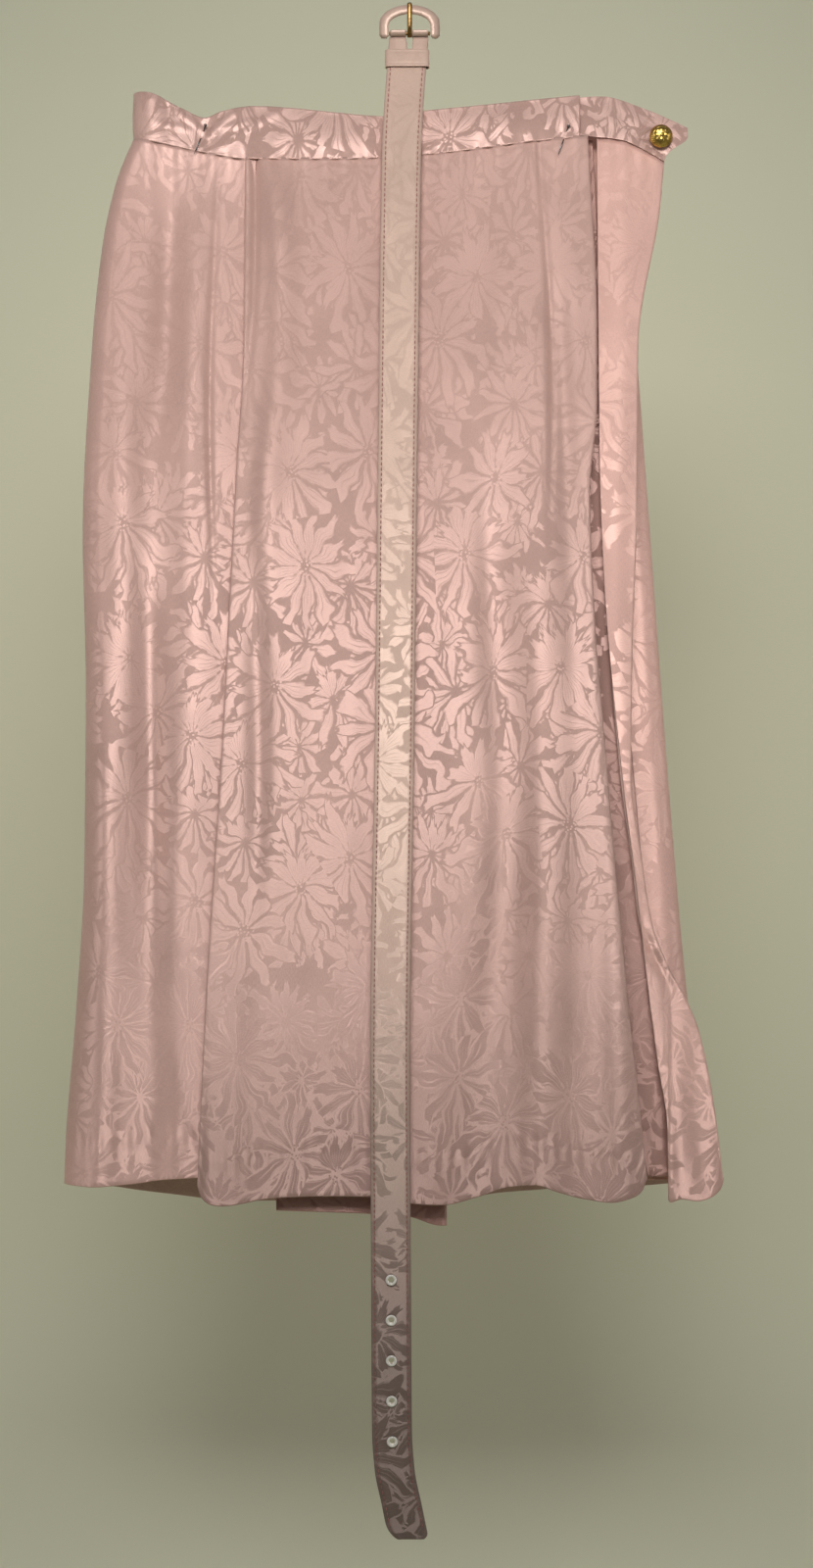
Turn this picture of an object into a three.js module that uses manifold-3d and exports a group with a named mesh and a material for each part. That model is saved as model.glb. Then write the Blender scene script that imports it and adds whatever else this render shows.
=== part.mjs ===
// A wrap skirt with its own covered belt, hung flat by its waistband.
// Millimetres, +Z up, the front of the skirt looks along -Y. The origin is the
// hang line: the middle of the skirt at the height of the waistband's top edge.

import * as THREE from 'three';
import { mergeVertices } from 'three/addons/utils/BufferGeometryUtils.js';
import Module from 'manifold-3d';

const wasm = await Module();
wasm.setup();

// ---------- driving dimensions ----------
const CLOTH = 1.2;             // thickness of one panel, with its folds pressed in
const GAP = 0.3;               // clearance between pieces that touch

const WAIST_LEFT = -178;       // left fold of the waistband
const WAIST_FRONT_END = 112;   // where the front band tucks over the end tab
const WAIST_BACK_END = 150;    // right end of the back waistband
const WAIST_HALF_DEPTH = 15;   // from the hang line to the band's outer face
const BAND_OUTER = 1.0;        // thickness of the band's outer fabric
const BAND_INTERFACING = 0.8;
const BAND_FACING = 1.0;
const SEAM_GAP = 0.5;          // from the band's lower edge to the panel below it

const FRONT_FLARE = 16;        // how far the front hem stands in front of the waist
const SIDE_FLARE = 8;
const BACK_FLARE = 10;
const EDGE_ROLL = 8;           // how far the left side panel's edge rolls back, besides its flare

const END_HINGE_X = 125;       // vertical line that the loose wrap end opens about
const END_HINGE_Y = -9;
const TAB_THICKNESS = 3;

const BUTTON_X = 164.6;
const BUTTON_Z = -11.3;
const BUTTON_RADIUS = 7.5;
const BUTTON_HEIGHT = 4.2;

const HOOK = new THREE.Vector3(2, -17, 66);  // where the hanger's hook carries the buckle
const BELT_LEAN = THREE.MathUtils.degToRad(1.6);
const BELT_WIDTH = 25;
const BELT_FACE = 0.9;
const BELT_STIFFENER = 0.9;
const BELT_LINING = 0.8;
const BELT_LENGTH = 974;       // buckle contact to the point of the belt
const BELT_STRAP_TOP = 15.6;   // buckle contact to where the strap starts, below the bar
const BELT_TURNBACK_END = -52; // the end of the part that is folded back behind the strap
const EYELET_FIRST = 810.5;    // buckle contact to the first eyelet
const EYELET_PITCH = 25.4;
const EYELET_COUNT = 5;
const EYELET_BORE = 2.0;
const EYELET_BARREL = 2.4;
const EYELET_FLANGE = 3.5;

const BUCKLE_HALF_WIDTH = 19.5;
const BUCKLE_TOP = 5.9;
const BUCKLE_BOTTOM = -16.2;
const BUCKLE_RIM = 6.0;
const BUCKLE_THICKNESS = 4.4;
const BUCKLE_OUTER_CENTRE = -6.1;  // height of the middle of the rim's outer curve
const BUCKLE_INNER_CENTRE = -8;
const BAR_RADIUS = 1.2;
const BAR_Z = -12.8;
const SLOT_HALF_WIDTH = 2.3;
const SLOT_BOTTOM = -23.5;

const TURNBACK_Y = 2.35;       // middle of the folded-back part, behind the strap

const KEEPER_TOP = -23.5;
const KEEPER_HEIGHT = 11.5;

// ---------- finishes ----------
const finish = (color, roughness, metalness) => ({ color, roughness, metalness });
const PINK_SATIN = finish('#dfbab0', 0.5, 0);
const PINK_SHADED = finish('#c99f95', 0.55, 0);
const BELT_SATIN = finish('#e6c8b8', 0.45, 0);
const INTERLINING = finish('#efe9e0', 0.9, 0);
const GOLD = finish('#c9a24a', 0.3, 1);
const BRASS = finish('#b08d57', 0.35, 1);
const SILVER = finish('#d6d6d6', 0.3, 1);
const STEEL = finish('#6d6d70', 0.35, 1);
const PLASTIC = finish('#e9e2da', 0.4, 0);

// ---------- small tools ----------

// A value read off an outline: knots are [position, value] pairs in rising order of position.
function outline(knots, at) {
  const last = knots.length - 1;
  if (at <= knots[0][0]) return knots[0][1];
  if (at >= knots[last][0]) return knots[last][1];
  const upper = knots.findIndex((knot) => knot[0] >= at);
  const [fromAt, fromValue] = knots[upper - 1];
  const [toAt, toValue] = knots[upper];
  return THREE.MathUtils.mapLinear(at, fromAt, toAt, fromValue, toValue);
}

// Volume enclosed by a triangle mesh; negative when its faces point inwards.
function signedVolume(geometry) {
  const flat = geometry.index ? geometry.toNonIndexed() : geometry;
  const position = flat.attributes.position;
  const corners = [new THREE.Vector3(), new THREE.Vector3(), new THREE.Vector3()];
  let volume = 0;
  for (let i = 0; i < position.count; i += 3) {
    corners.forEach((corner, k) => corner.fromBufferAttribute(position, i + k));
    volume += corners[0].dot(corners[1].clone().cross(corners[2])) / 6;
  }
  return volume;
}

// One closed body with merged vertices and its faces pointing out.
function closed(geometry) {
  geometry.deleteAttribute('normal');
  geometry.deleteAttribute('uv');
  const merged = mergeVertices(geometry, 1e-4);
  if (signedVolume(merged) < 0) {
    const index = merged.index.array;
    for (let i = 0; i < index.length; i += 3) {
      [index[i], index[i + 1]] = [index[i + 1], index[i]];
    }
  }
  merged.computeVertexNormals();
  return merged;
}

function toSolid(geometry) {
  const ready = closed(geometry);
  return new wasm.Manifold(new wasm.Mesh({
    numProp: 3,
    vertProperties: new Float32Array(ready.attributes.position.array),
    triVerts: new Uint32Array(ready.index.array),
  }));
}

function fromSolid(solid) {
  const mesh = solid.getMesh();
  const geometry = new THREE.BufferGeometry();
  geometry.setAttribute('position', new THREE.BufferAttribute(new Float32Array(mesh.vertProperties), 3));
  geometry.setIndex(new THREE.BufferAttribute(new Uint32Array(mesh.triVerts), 1));
  return closed(geometry);
}

function cut(geometry, ...cutters) {
  return fromSolid(cutters.reduce((solid, cutter) => solid.subtract(toSolid(cutter)), toSolid(geometry)));
}

function join(first, second) {
  return fromSolid(toSolid(first).add(toSolid(second)));
}

// A thick sheet: a slab bent so that (u, v) in 0..1 lands on place(u, v); y is its thickness.
function sheet(across, down, thickness, place) {
  const geometry = new THREE.BoxGeometry(1, 1, 1, across, 1, down);
  const position = geometry.attributes.position;
  for (let i = 0; i < position.count; i += 1) {
    const spot = place(position.getX(i) + 0.5, position.getZ(i) + 0.5);
    position.setXYZ(i, spot.x, spot.y + position.getY(i) * thickness, spot.z);
  }
  return closed(geometry);
}

// A ribbon: a strip carried along a plane path, its middle set off to the path's inner side;
// lift places its width.
function ribbon(path, offset, thickness, segments, lift) {
  const geometry = new THREE.BoxGeometry(1, 1, 1, segments, 1, 1);
  const position = geometry.attributes.position;
  for (let i = 0; i < position.count; i += 1) {
    const along = position.getX(i) + 0.5;
    const centre = path.getPointAt(along);
    const tangent = path.getTangentAt(along);
    const out = offset + position.getY(i) * thickness;
    const spot = lift(centre.x - tangent.y * out, centre.y + tangent.x * out, position.getZ(i) + 0.5, centre);
    position.setXYZ(i, spot.x, spot.y, spot.z);
  }
  return closed(geometry);
}

// A flat plate: a shape drawn in X and Z, standing between two depths.
function plate(shape, yFront, yBack, curveSegments = 10) {
  const geometry = new THREE.ExtrudeGeometry(shape, { depth: yBack - yFront, bevelEnabled: false, curveSegments });
  geometry.rotateX(Math.PI / 2);
  geometry.translate(0, yBack, 0);
  return closed(geometry);
}

// A piece turned about Y from a profile of [radius, depth] pairs.
function turned(profile, sides) {
  const points = profile.map(([radius, depth]) => new THREE.Vector2(radius, depth));
  return closed(new THREE.LatheGeometry(points, sides));
}

function box(x0, x1, y0, y1, z0, z1) {
  const geometry = new THREE.BoxGeometry(x1 - x0, y1 - y0, z1 - z0);
  geometry.translate((x0 + x1) / 2, (y0 + y1) / 2, (z0 + z1) / 2);
  return geometry;
}

function piece(name, geometry, look) {
  const mesh = new THREE.Mesh(geometry, new THREE.MeshStandardMaterial(look));
  mesh.name = name;
  return mesh;
}

const at = (x, y, z) => new THREE.Vector3(x, y, z);
const lerp = THREE.MathUtils.lerp;
const smooth = (value, from, to) => THREE.MathUtils.smoothstep(value, from, to);

// ---------- waistband ----------
const BAND_TOP_FRONT = [[-178, 19.5], [-161, 14.5], [-145, 6], [-130, 0.5], [-98, 7.6], [-48, 3.8],
  [-14, 1], [48, 8.2], [112, 14.3]];
const BAND_SEAM_FRONT = [[-178, -12], [-161, -16], [-128, -23], [-100, -26.7], [-14, -26], [55, -19],
  [112, -12.3]];
const BAND_TOP_BACK = [[-178, 19.5], [-150, 10], [-100, 5], [150, 6]];
const BAND_SEAM_BACK = [[-178, -12], [-150, -19], [-100, -24], [150, -22]];

const frontSeam = (x) => outline(BAND_SEAM_FRONT, x);
const backSeam = (x) => outline(BAND_SEAM_BACK, x);

// The band's outer face seen from above: back, round the left fold, and along the front.
function waistLoop() {
  const bend = WAIST_LEFT + WAIST_HALF_DEPTH;
  const path = new THREE.Path();
  path.moveTo(WAIST_BACK_END, WAIST_HALF_DEPTH);
  path.lineTo(bend, WAIST_HALF_DEPTH);
  path.absarc(bend, 0, WAIST_HALF_DEPTH, Math.PI / 2, Math.PI * 1.5, false);
  path.lineTo(WAIST_FRONT_END, -WAIST_HALF_DEPTH);
  return path;
}

function waistbandLayer(name, inwards, thickness, look) {
  const lift = (x, y, v, outerFace) => {
    const front = smooth(-outerFace.y, -WAIST_HALF_DEPTH * 0.9, WAIST_HALF_DEPTH * 0.9);
    const top = lerp(outline(BAND_TOP_BACK, outerFace.x), outline(BAND_TOP_FRONT, outerFace.x), front);
    const seam = lerp(backSeam(outerFace.x), frontSeam(outerFace.x), front);
    return at(x, y, lerp(seam, top, v));
  };
  return piece(name, ribbon(waistLoop(), inwards, thickness, 46, lift), look);
}

function waistband() {
  const outer = BAND_OUTER / 2;
  const interfacing = BAND_OUTER + GAP + BAND_INTERFACING / 2;
  const facing = interfacing + BAND_INTERFACING / 2 + GAP + BAND_FACING / 2;
  return [
    waistbandLayer('waistband_outer', outer, BAND_OUTER, PINK_SATIN),
    waistbandLayer('waistband_interfacing', interfacing, BAND_INTERFACING, INTERLINING),
    waistbandLayer('waistband_facing', facing, BAND_FACING, PINK_SHADED),
  ];
}

const UNDER_LEFT = -90;
const UNDER_RIGHT = 24;
const UNDER_BAND_Y = -9.8;

function underBand() {
  const place = (u, v) => {
    const x = lerp(UNDER_LEFT, UNDER_RIGHT, u);
    return at(x, UNDER_BAND_Y, lerp(frontSeam(x), outline(BAND_TOP_FRONT, x) - 3, v));
  };
  return piece('under_wrap_band', sheet(10, 1, 2, place), PINK_SATIN);
}

// ---------- panels ----------
// A panel hangs from seam(x) to hem(x) between two edges that move with s, 0 at the
// waist and 1 at the hem; depth(x, s, u) gives its place in Y.
function panel(name, { left, right, seam, hem, depth, across = 8, down = 10, look = PINK_SATIN }) {
  const place = (u, v) => {
    const s = 1 - v;
    const x = lerp(outline(left, s), outline(right, s), u);
    return at(x, depth(x, s, u), lerp(seam(x) - SEAM_GAP, hem(x), s));
  };
  return piece(name, sheet(across, down, CLOTH, place), look);
}

const FRONT_HEM = [[-133, -696], [-118, -699], [-87, -694], [-23, -693], [20, -698], [70, -687],
  [97, -690], [130, -696], [153, -688]];
const LEFT_HEM = [[-223, -689], [-180, -687], [-120, -682]];
const END_HEM = [[169, -700], [187, -698], [204, -693]];
const BACK_HEM = [[-223, -690], [-150, -700], [-102, -708], [30, -707], [110, -698], [200, -690]];

const FRONT_LEFT = [[0, -103], [0.18, -104], [0.43, -113], [0.7, -123], [1, -133]];
const FRONT_RIGHT = [[0, 116], [0.18, 121.6], [0.34, 117], [0.46, 120], [0.68, 132], [1, 153]];
const SKIRT_LEFT = [[0, -178], [0.04, -189], [0.1, -198], [0.2, -205], [0.38, -211], [0.7, -210],
  [0.85, -215], [1, -223]];
const SKIRT_RIGHT = [[0, 140], [0.18, 150], [0.38, 160], [0.6, 171], [0.82, 184], [1, 200]];

const frontFold = (x) => Math.cos((2 * Math.PI * (x - 8)) / 124);
const frontDepth = (x, s) => -13 - FRONT_FLARE * s - 3 * s * s * frontFold(x);

function frontPanel() {
  return panel('front_panel', {
    left: FRONT_LEFT,
    right: FRONT_RIGHT,
    seam: frontSeam,
    hem: (x) => outline(FRONT_HEM, x),
    depth: frontDepth,
    across: 14,
  });
}

// The outer edge of a side panel rolls back towards the fold that joins front and back.
function leftSidePanel() {
  const roll = (u) => 1 - smooth(u, 0, 0.16);
  return panel('left_side_panel', {
    left: SKIRT_LEFT,
    right: [[0, -97], [0.43, -104], [1, -120]],
    seam: frontSeam,
    hem: (x) => outline(LEFT_HEM, x),
    depth: (x, s, u) => -10 - SIDE_FLARE * s + roll(u) * (EDGE_ROLL + SIDE_FLARE * s)
      + 2 * s * Math.cos((2 * Math.PI * (x + 160)) / 60) * (1 - roll(u)),
    across: 12,
  });
}

function pleatUnderlay() {
  return panel('pleat_underlay', {
    left: [[0, 101], [1, 112]],
    right: [[0, 118], [0.3, 132], [0.65, 150], [1, 176]],
    seam: () => -30,
    hem: () => -684,
    depth: (x, s) => -4 - 2.5 * s,
    across: 6,
    look: PINK_SHADED,
  });
}

function rightSidePanel() {
  const roll = (u) => smooth(u, 0.7, 1);
  return panel('right_side_panel', {
    left: [[0, 104], [1, 140]],
    right: SKIRT_RIGHT,
    seam: () => -30,
    hem: () => -688,
    depth: (x, s, u) => 1.2 + roll(u) * 4 + 2 * s,
    across: 8,
    look: PINK_SHADED,
  });
}

const backDepth = (x, s) => 13 + BACK_FLARE * s + 2 * s * Math.cos((2 * Math.PI * x) / 110);

function backPanels() {
  const shared = { seam: backSeam, hem: (x) => outline(BACK_HEM, x) };
  const leftRoll = (u) => 1 - smooth(u, 0, 0.1);
  const left = panel('back_panel_left', {
    ...shared,
    left: SKIRT_LEFT,
    right: [[0, -0.5], [1, -0.5]],
    depth: (x, s, u) => backDepth(x, s) - leftRoll(u) * (8 + BACK_FLARE * s),
    across: 12,
  });
  const rightRoll = (u) => smooth(u, 0.92, 1);
  const right = panel('back_panel_right', {
    ...shared,
    left: [[0, 0.5], [1, 0.5]],
    right: SKIRT_RIGHT,
    depth: (x, s, u) => backDepth(x, s) - rightRoll(u) * 3,
    across: 12,
  });
  return [left, right];
}

function underWrapPanel() {
  return panel('under_wrap_panel', {
    left: [[0, UNDER_LEFT], [1, -84]],
    right: [[0, UNDER_RIGHT], [1, 26]],
    seam: frontSeam,
    hem: (x) => outline([[-90, -704], [0, -708], [26, -714]], x),
    depth: (x, s) => UNDER_BAND_Y - 6 * s,
    across: 8,
    look: PINK_SHADED,
  });
}

function underWrapFacing() {
  return panel('under_wrap_edge_facing', {
    left: [[0, UNDER_RIGHT - 28], [1, -2]],
    right: [[0, UNDER_RIGHT - 1], [1, 25]],
    seam: (x) => frontSeam(x) - 2,
    hem: () => -706,
    depth: (x, s) => UNDER_BAND_Y + CLOTH + GAP - 6 * s,
    across: 2,
    look: PINK_SHADED,
  });
}

// ---------- loose wrap end: tab, panel and gold button ----------
const TAB_TOP = [[108, 13], [127, 15], [149, 8.8], [182, -5.5]];
const TAB_SEAM = [[108, -9], [119, -10.7], [139, -13], [167, -27]];
const END_LEFT = [[0, 122], [0.3, 124.4], [0.42, 127], [0.62, 138], [0.69, 144], [0.8, 154],
  [0.87, 161], [0.93, 168], [1, 169]];
const END_RIGHT = [[0, 166], [0.05, 163], [0.19, 149], [0.35, 148], [0.48, 145], [0.6, 144],
  [0.68, 151], [0.74, 158], [0.84, 188], [0.92, 198], [1, 204]];
const endDepth = (s) => END_HINGE_Y - 7 * s;

// The tab's free end slopes: its lower corner is set back from its upper one.
function tabLayer(name, depth, thickness, inset, look) {
  const place = (u, v) => {
    const right = lerp(167, 182, smooth(v, 0, 0.75)) - inset;
    const x = lerp(108 + inset, right, u);
    return at(x, depth, lerp(outline(TAB_SEAM, x) + inset, outline(TAB_TOP, x) - inset, v));
  };
  return piece(name, sheet(10, 4, thickness, place), look);
}

function tab() {
  const front = END_HINGE_Y - TAB_THICKNESS / 2;
  return [
    tabLayer('tab_outer', front + 0.4, 0.8, 0, PINK_SATIN),
    tabLayer('tab_interfacing', front + 1.5, 0.8, 1, INTERLINING),
    tabLayer('tab_facing', front + 2.6, 0.8, 0.4, PINK_SHADED),
  ];
}

function endPanel() {
  return panel('end_panel', {
    left: END_LEFT,
    right: END_RIGHT,
    seam: (x) => outline(TAB_SEAM, x),
    hem: (x) => outline(END_HEM, x),
    depth: (x, s) => endDepth(s),
    across: 5,
    down: 18,
  });
}

function endFacing() {
  const inner = END_RIGHT.map(([s, x]) => [s, Math.max(x - 16, outline(END_LEFT, s) + 1)]);
  return panel('end_panel_edge_facing', {
    left: inner,
    right: END_RIGHT.map(([s, x]) => [s, x - 1]),
    seam: (x) => outline(TAB_SEAM, x) - 2,
    hem: (x) => outline(END_HEM, x) + 3,
    depth: (x, s) => endDepth(s) + CLOTH + GAP,
    across: 2,
    down: 18,
    look: PINK_SHADED,
  });
}

// The button turns about Y: its dome faces the front and a loop shank joins it to the tab.
function goldButton() {
  const tabFront = END_HINGE_Y - TAB_THICKNESS / 2;
  const domeBack = tabFront - 1.6;
  const rim = BUTTON_RADIUS;
  const dome = turned([[0, -BUTTON_HEIGHT], [rim * 0.45, -BUTTON_HEIGHT * 0.93], [rim * 0.8, -BUTTON_HEIGHT * 0.68],
    [rim, -0.9], [rim, -0.3], [rim * 0.93, 0], [0, 0]], 24);
  dome.translate(BUTTON_X, domeBack, BUTTON_Z);
  const shank = turned([[0, GAP], [1.6, GAP], [1.6, 1.3], [0, 1.3]], 12);
  shank.translate(BUTTON_X, domeBack, BUTTON_Z);
  const tabBack = END_HINGE_Y + TAB_THICKNESS / 2;
  const backing = turned([[0, 0.2], [3.8, 0.2], [4.2, 0.7], [4.2, 1.4], [3.6, 1.7], [0, 1.7]], 16);
  backing.translate(BUTTON_X, tabBack, BUTTON_Z);
  return [
    piece('gold_button_dome', dome, GOLD),
    piece('gold_button_shank', shank, GOLD),
    piece('backing_button', backing, PLASTIC),
  ];
}

function innerButton() {
  const facingInside = -(WAIST_HALF_DEPTH - BAND_OUTER - BAND_INTERFACING - BAND_FACING - 2 * GAP);
  const button = turned([[0, GAP], [5, GAP], [5.5, 0.7], [5.5, 1.7], [4.9, 2.1], [0, 2.1]], 16);
  button.translate(-116, facingInside, -10);
  return piece('inner_button', button, PLASTIC);
}

// ---------- pins through the waistband ----------
function dressPin(name, x, z, lean, length) {
  const pin = turned([[0, 0], [0.9, 0.3], [1.1, 0.9], [0.9, 1.5], [0.4, 1.8], [0.4, length - 2], [0, length]], 8);
  pin.rotateX(-Math.PI / 2);
  pin.rotateY(lean);
  pin.translate(x, -(WAIST_HALF_DEPTH + GAP + 1.1), z);
  return piece(name, pin, STEEL);
}

// ---------- belt, drawn about the hook contact and then leaned onto the skirt ----------
// The strap's middle line: how far it stands to the side, by distance below the hook. The strap's
// edges run through every station but the last two, where the point is cut.
const BELT_DRIFT = [[0, 0.6], [92, -5.2], [244, -7.2], [464, -9.6], [669, -12.4], [811, -11.8],
  [905, -11.2], [930, -9.5], [952, -5], [974, -0.5]];
const beltMiddle = (down) => outline(BELT_DRIFT, down);

function strapShape(inset) {
  const top = BELT_STRAP_TOP;
  const half = BELT_WIDTH / 2 - inset;
  const stations = BELT_DRIFT.slice(1, -2).map(([down]) => down);
  const shape = new THREE.Shape();
  shape.moveTo(beltMiddle(top) - half, -top);
  stations.forEach((down) => shape.lineTo(beltMiddle(down) - half, -down));
  shape.lineTo(-13.3 + inset, -(BELT_LENGTH - 10 - inset));
  shape.lineTo(-0.6, -(BELT_LENGTH - inset));
  shape.lineTo(8.7 - inset, -(BELT_LENGTH - 3.5 - inset));
  [...stations].reverse().forEach((down) => shape.lineTo(beltMiddle(down) + half, -down));
  shape.lineTo(beltMiddle(top) + half, -top);
  shape.closePath();
  for (let i = 0; i < EYELET_COUNT; i += 1) {
    const down = EYELET_FIRST + i * EYELET_PITCH;
    const hole = new THREE.Path();
    hole.absarc(beltMiddle(down), -down, EYELET_BARREL + GAP, 0, Math.PI * 2, true);
    shape.holes.push(hole);
  }
  return shape;
}

const prongSlot = () => box(-SLOT_HALF_WIDTH, SLOT_HALF_WIDTH, -4, 4, SLOT_BOTTOM, -6);

function strapLayers() {
  const front = -(BELT_FACE + BELT_STIFFENER + BELT_LINING + 2 * GAP) / 2;
  const stiffenerFront = front + BELT_FACE + GAP;
  const liningFront = stiffenerFront + BELT_STIFFENER + GAP;
  const layer = (inset, from, thickness) => cut(plate(strapShape(inset), from, from + thickness, 6), prongSlot());
  return [
    piece('belt_face', layer(0, front, BELT_FACE), BELT_SATIN),
    piece('belt_stiffener', layer(1, stiffenerFront, BELT_STIFFENER), INTERLINING),
    piece('belt_lining', layer(0.5, liningFront, BELT_LINING), PINK_SHADED),
  ];
}

// The strap's end: over the bar from the front, then down behind the strap.
function strapTurnback() {
  const radius = BAR_RADIUS + 0.85;
  const path = new THREE.Path();
  path.moveTo(-radius, BAR_Z - 2.4);
  path.lineTo(-radius, BAR_Z);
  path.absarc(0, BAR_Z, radius, Math.PI, 0, true);
  path.lineTo(TURNBACK_Y, BAR_Z - 6);
  path.lineTo(TURNBACK_Y, BELT_TURNBACK_END);
  const half = BELT_WIDTH / 2 - 0.3;
  const loop = ribbon(path, 0, 0.8, 26, (y, z, v) => at(beltMiddle(-z) + lerp(-half, half, v), y, z));
  const slot = box(-SLOT_HALF_WIDTH, SLOT_HALF_WIDTH, -4, 4, SLOT_BOTTOM, 0);
  return piece('belt_turnback', cut(loop, slot), BELT_SATIN);
}

function eyelets() {
  const front = -(BELT_FACE + BELT_STIFFENER + BELT_LINING + 2 * GAP) / 2;
  const parts = [];
  for (let i = 0; i < EYELET_COUNT; i += 1) {
    const down = EYELET_FIRST + i * EYELET_PITCH;
    const ring = turned([[EYELET_BORE, front - 0.9], [EYELET_FLANGE - 0.4, front - 0.9], [EYELET_FLANGE, front - 0.3],
      [EYELET_BARREL, front - 0.3], [EYELET_BARREL, -front + 0.3], [EYELET_BORE, -front + 0.3],
      [EYELET_BORE, front - 0.9]], 12);
    ring.translate(beltMiddle(down), 0, -down);
    parts.push(piece(`eyelet_${i + 1}`, ring, SILVER));
    const washer = turned([[EYELET_BARREL + GAP, -front + 0.3], [EYELET_FLANGE, -front + 0.3],
      [EYELET_FLANGE, -front + 0.8], [EYELET_BARREL + GAP, -front + 0.8], [EYELET_BARREL + GAP, -front + 0.3]], 12);
    washer.translate(beltMiddle(down), 0, -down);
    parts.push(piece(`eyelet_washer_${i + 1}`, washer, SILVER));
  }
  return parts;
}

// The buckle is a half-round horseshoe, open at the bar; inset draws the same shape smaller.
function horseshoe(inset) {
  const outer = BUCKLE_HALF_WIDTH - inset;
  const inner = BUCKLE_HALF_WIDTH - BUCKLE_RIM + inset;
  const bottom = BUCKLE_BOTTOM + inset;
  const shape = new THREE.Shape();
  shape.moveTo(outer, bottom);
  shape.lineTo(outer, BUCKLE_OUTER_CENTRE);
  shape.absellipse(0, BUCKLE_OUTER_CENTRE, outer, BUCKLE_TOP - BUCKLE_OUTER_CENTRE - inset, 0, Math.PI, false);
  shape.lineTo(-outer, bottom);
  shape.lineTo(-inner, bottom);
  shape.lineTo(-inner, BUCKLE_INNER_CENTRE);
  shape.absellipse(0, BUCKLE_INNER_CENTRE, inner, -BUCKLE_INNER_CENTRE + inset, Math.PI, 0, true);
  shape.lineTo(inner, bottom);
  shape.closePath();
  return shape;
}

function buckle() {
  const half = BUCKLE_THICKNESS / 2;
  const skin = plate(horseshoe(0), -half, half, 16);
  const channel = plate(horseshoe(0.8), -half + 1, half + 1, 16);
  const bar = new THREE.CylinderGeometry(BAR_RADIUS, BAR_RADIUS, 2 * (BUCKLE_HALF_WIDTH - BUCKLE_RIM - GAP), 12);
  bar.rotateZ(Math.PI / 2);
  bar.translate(0, 0, BAR_Z);
  return [
    piece('buckle_cover', cut(skin, channel), BELT_SATIN),
    piece('buckle_core', plate(horseshoe(1.1), -half + 1.3, half - 0.9, 16), STEEL),
    piece('buckle_back_plate', plate(horseshoe(1.1), half - 0.6, half, 16), STEEL),
    piece('buckle_bar', closed(bar), BRASS),
  ];
}

function prong() {
  const reach = BUCKLE_THICKNESS / 2 + GAP + 1.6;
  const ring = closed(new THREE.LatheGeometry([[1.55, -1.5], [2.4, -1.5], [2.4, 1.5], [1.55, 1.5], [1.55, -1.5]]
    .map(([radius, along]) => new THREE.Vector2(radius, along)), 16));
  ring.rotateZ(Math.PI / 2);
  ring.translate(0, 0, BAR_Z);
  const line = new THREE.CatmullRomCurve3([at(0, -2, BAR_Z), at(0, -reach, BAR_Z + 3), at(0, -reach, -3),
    at(0, -reach, 3), at(0, -reach, BUCKLE_TOP)]);
  const section = new THREE.Shape();
  section.absellipse(0, 0, 1.1, 1.5, 0, Math.PI * 2, false);
  const shaft = new THREE.ExtrudeGeometry(section, { steps: 9, extrudePath: line, curveSegments: 6 });
  return piece('buckle_prong', join(ring, shaft), BRASS);
}

function keeper() {
  const oval = (halfX, front, back) => {
    const corner = 1.2;
    const shape = new THREE.Path();
    shape.moveTo(-halfX + corner, front);
    shape.lineTo(halfX - corner, front);
    shape.quadraticCurveTo(halfX, front, halfX, front + corner);
    shape.lineTo(halfX, back - corner);
    shape.quadraticCurveTo(halfX, back, halfX - corner, back);
    shape.lineTo(-halfX + corner, back);
    shape.quadraticCurveTo(-halfX, back, -halfX, back - corner);
    shape.lineTo(-halfX, front + corner);
    shape.quadraticCurveTo(-halfX, front, -halfX + corner, front);
    return shape;
  };
  const loop = new THREE.Shape(oval(14.3, -3.1, 4.2).getPoints(4));
  loop.holes.push(new THREE.Path(oval(13.3, -2.1, 3.2).getPoints(4)));
  const geometry = new THREE.ExtrudeGeometry(loop, { depth: KEEPER_HEIGHT, bevelEnabled: false });
  geometry.translate(beltMiddle(-KEEPER_TOP + KEEPER_HEIGHT / 2), 0, KEEPER_TOP - KEEPER_HEIGHT);
  return piece('belt_keeper', closed(geometry), BELT_SATIN);
}

function belt() {
  const group = new THREE.Group();
  group.add(...buckle(), prong(), keeper(), ...strapLayers(), strapTurnback(), ...eyelets());
  group.position.copy(HOOK);
  group.rotation.x = -BELT_LEAN;
  return group;
}

// ---------- assembly ----------
const skirt = new THREE.Group();
skirt.add(
  ...waistband(),
  underBand(),
  frontPanel(),
  leftSidePanel(),
  pleatUnderlay(),
  rightSidePanel(),
  ...backPanels(),
  underWrapPanel(),
  underWrapFacing(),
  innerButton(),
  dressPin('dress_pin_left', -129.3, -4.5, -0.37, 21),
  dressPin('dress_pin_right', 104.8, -5, 0.35, 21),
);

const wrapEnd = new THREE.Group();
wrapEnd.add(...tab(), endPanel(), endFacing(), ...goldButton());

const garment = new THREE.Group();
garment.add(skirt, wrapEnd, belt());

export default garment;
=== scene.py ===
"""A wrap skirt with its own covered belt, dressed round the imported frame.

The skirt hangs flat by its waistband and faces -Y. Sizes are in millimetres inside the classes and
are turned into metres where a mesh is made, so that every piece lies in the frame's own place.
"""
from __future__ import annotations

import logging
import math
from dataclasses import dataclass, field
from enum import Enum
from typing import Callable, Iterable, Sequence

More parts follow.
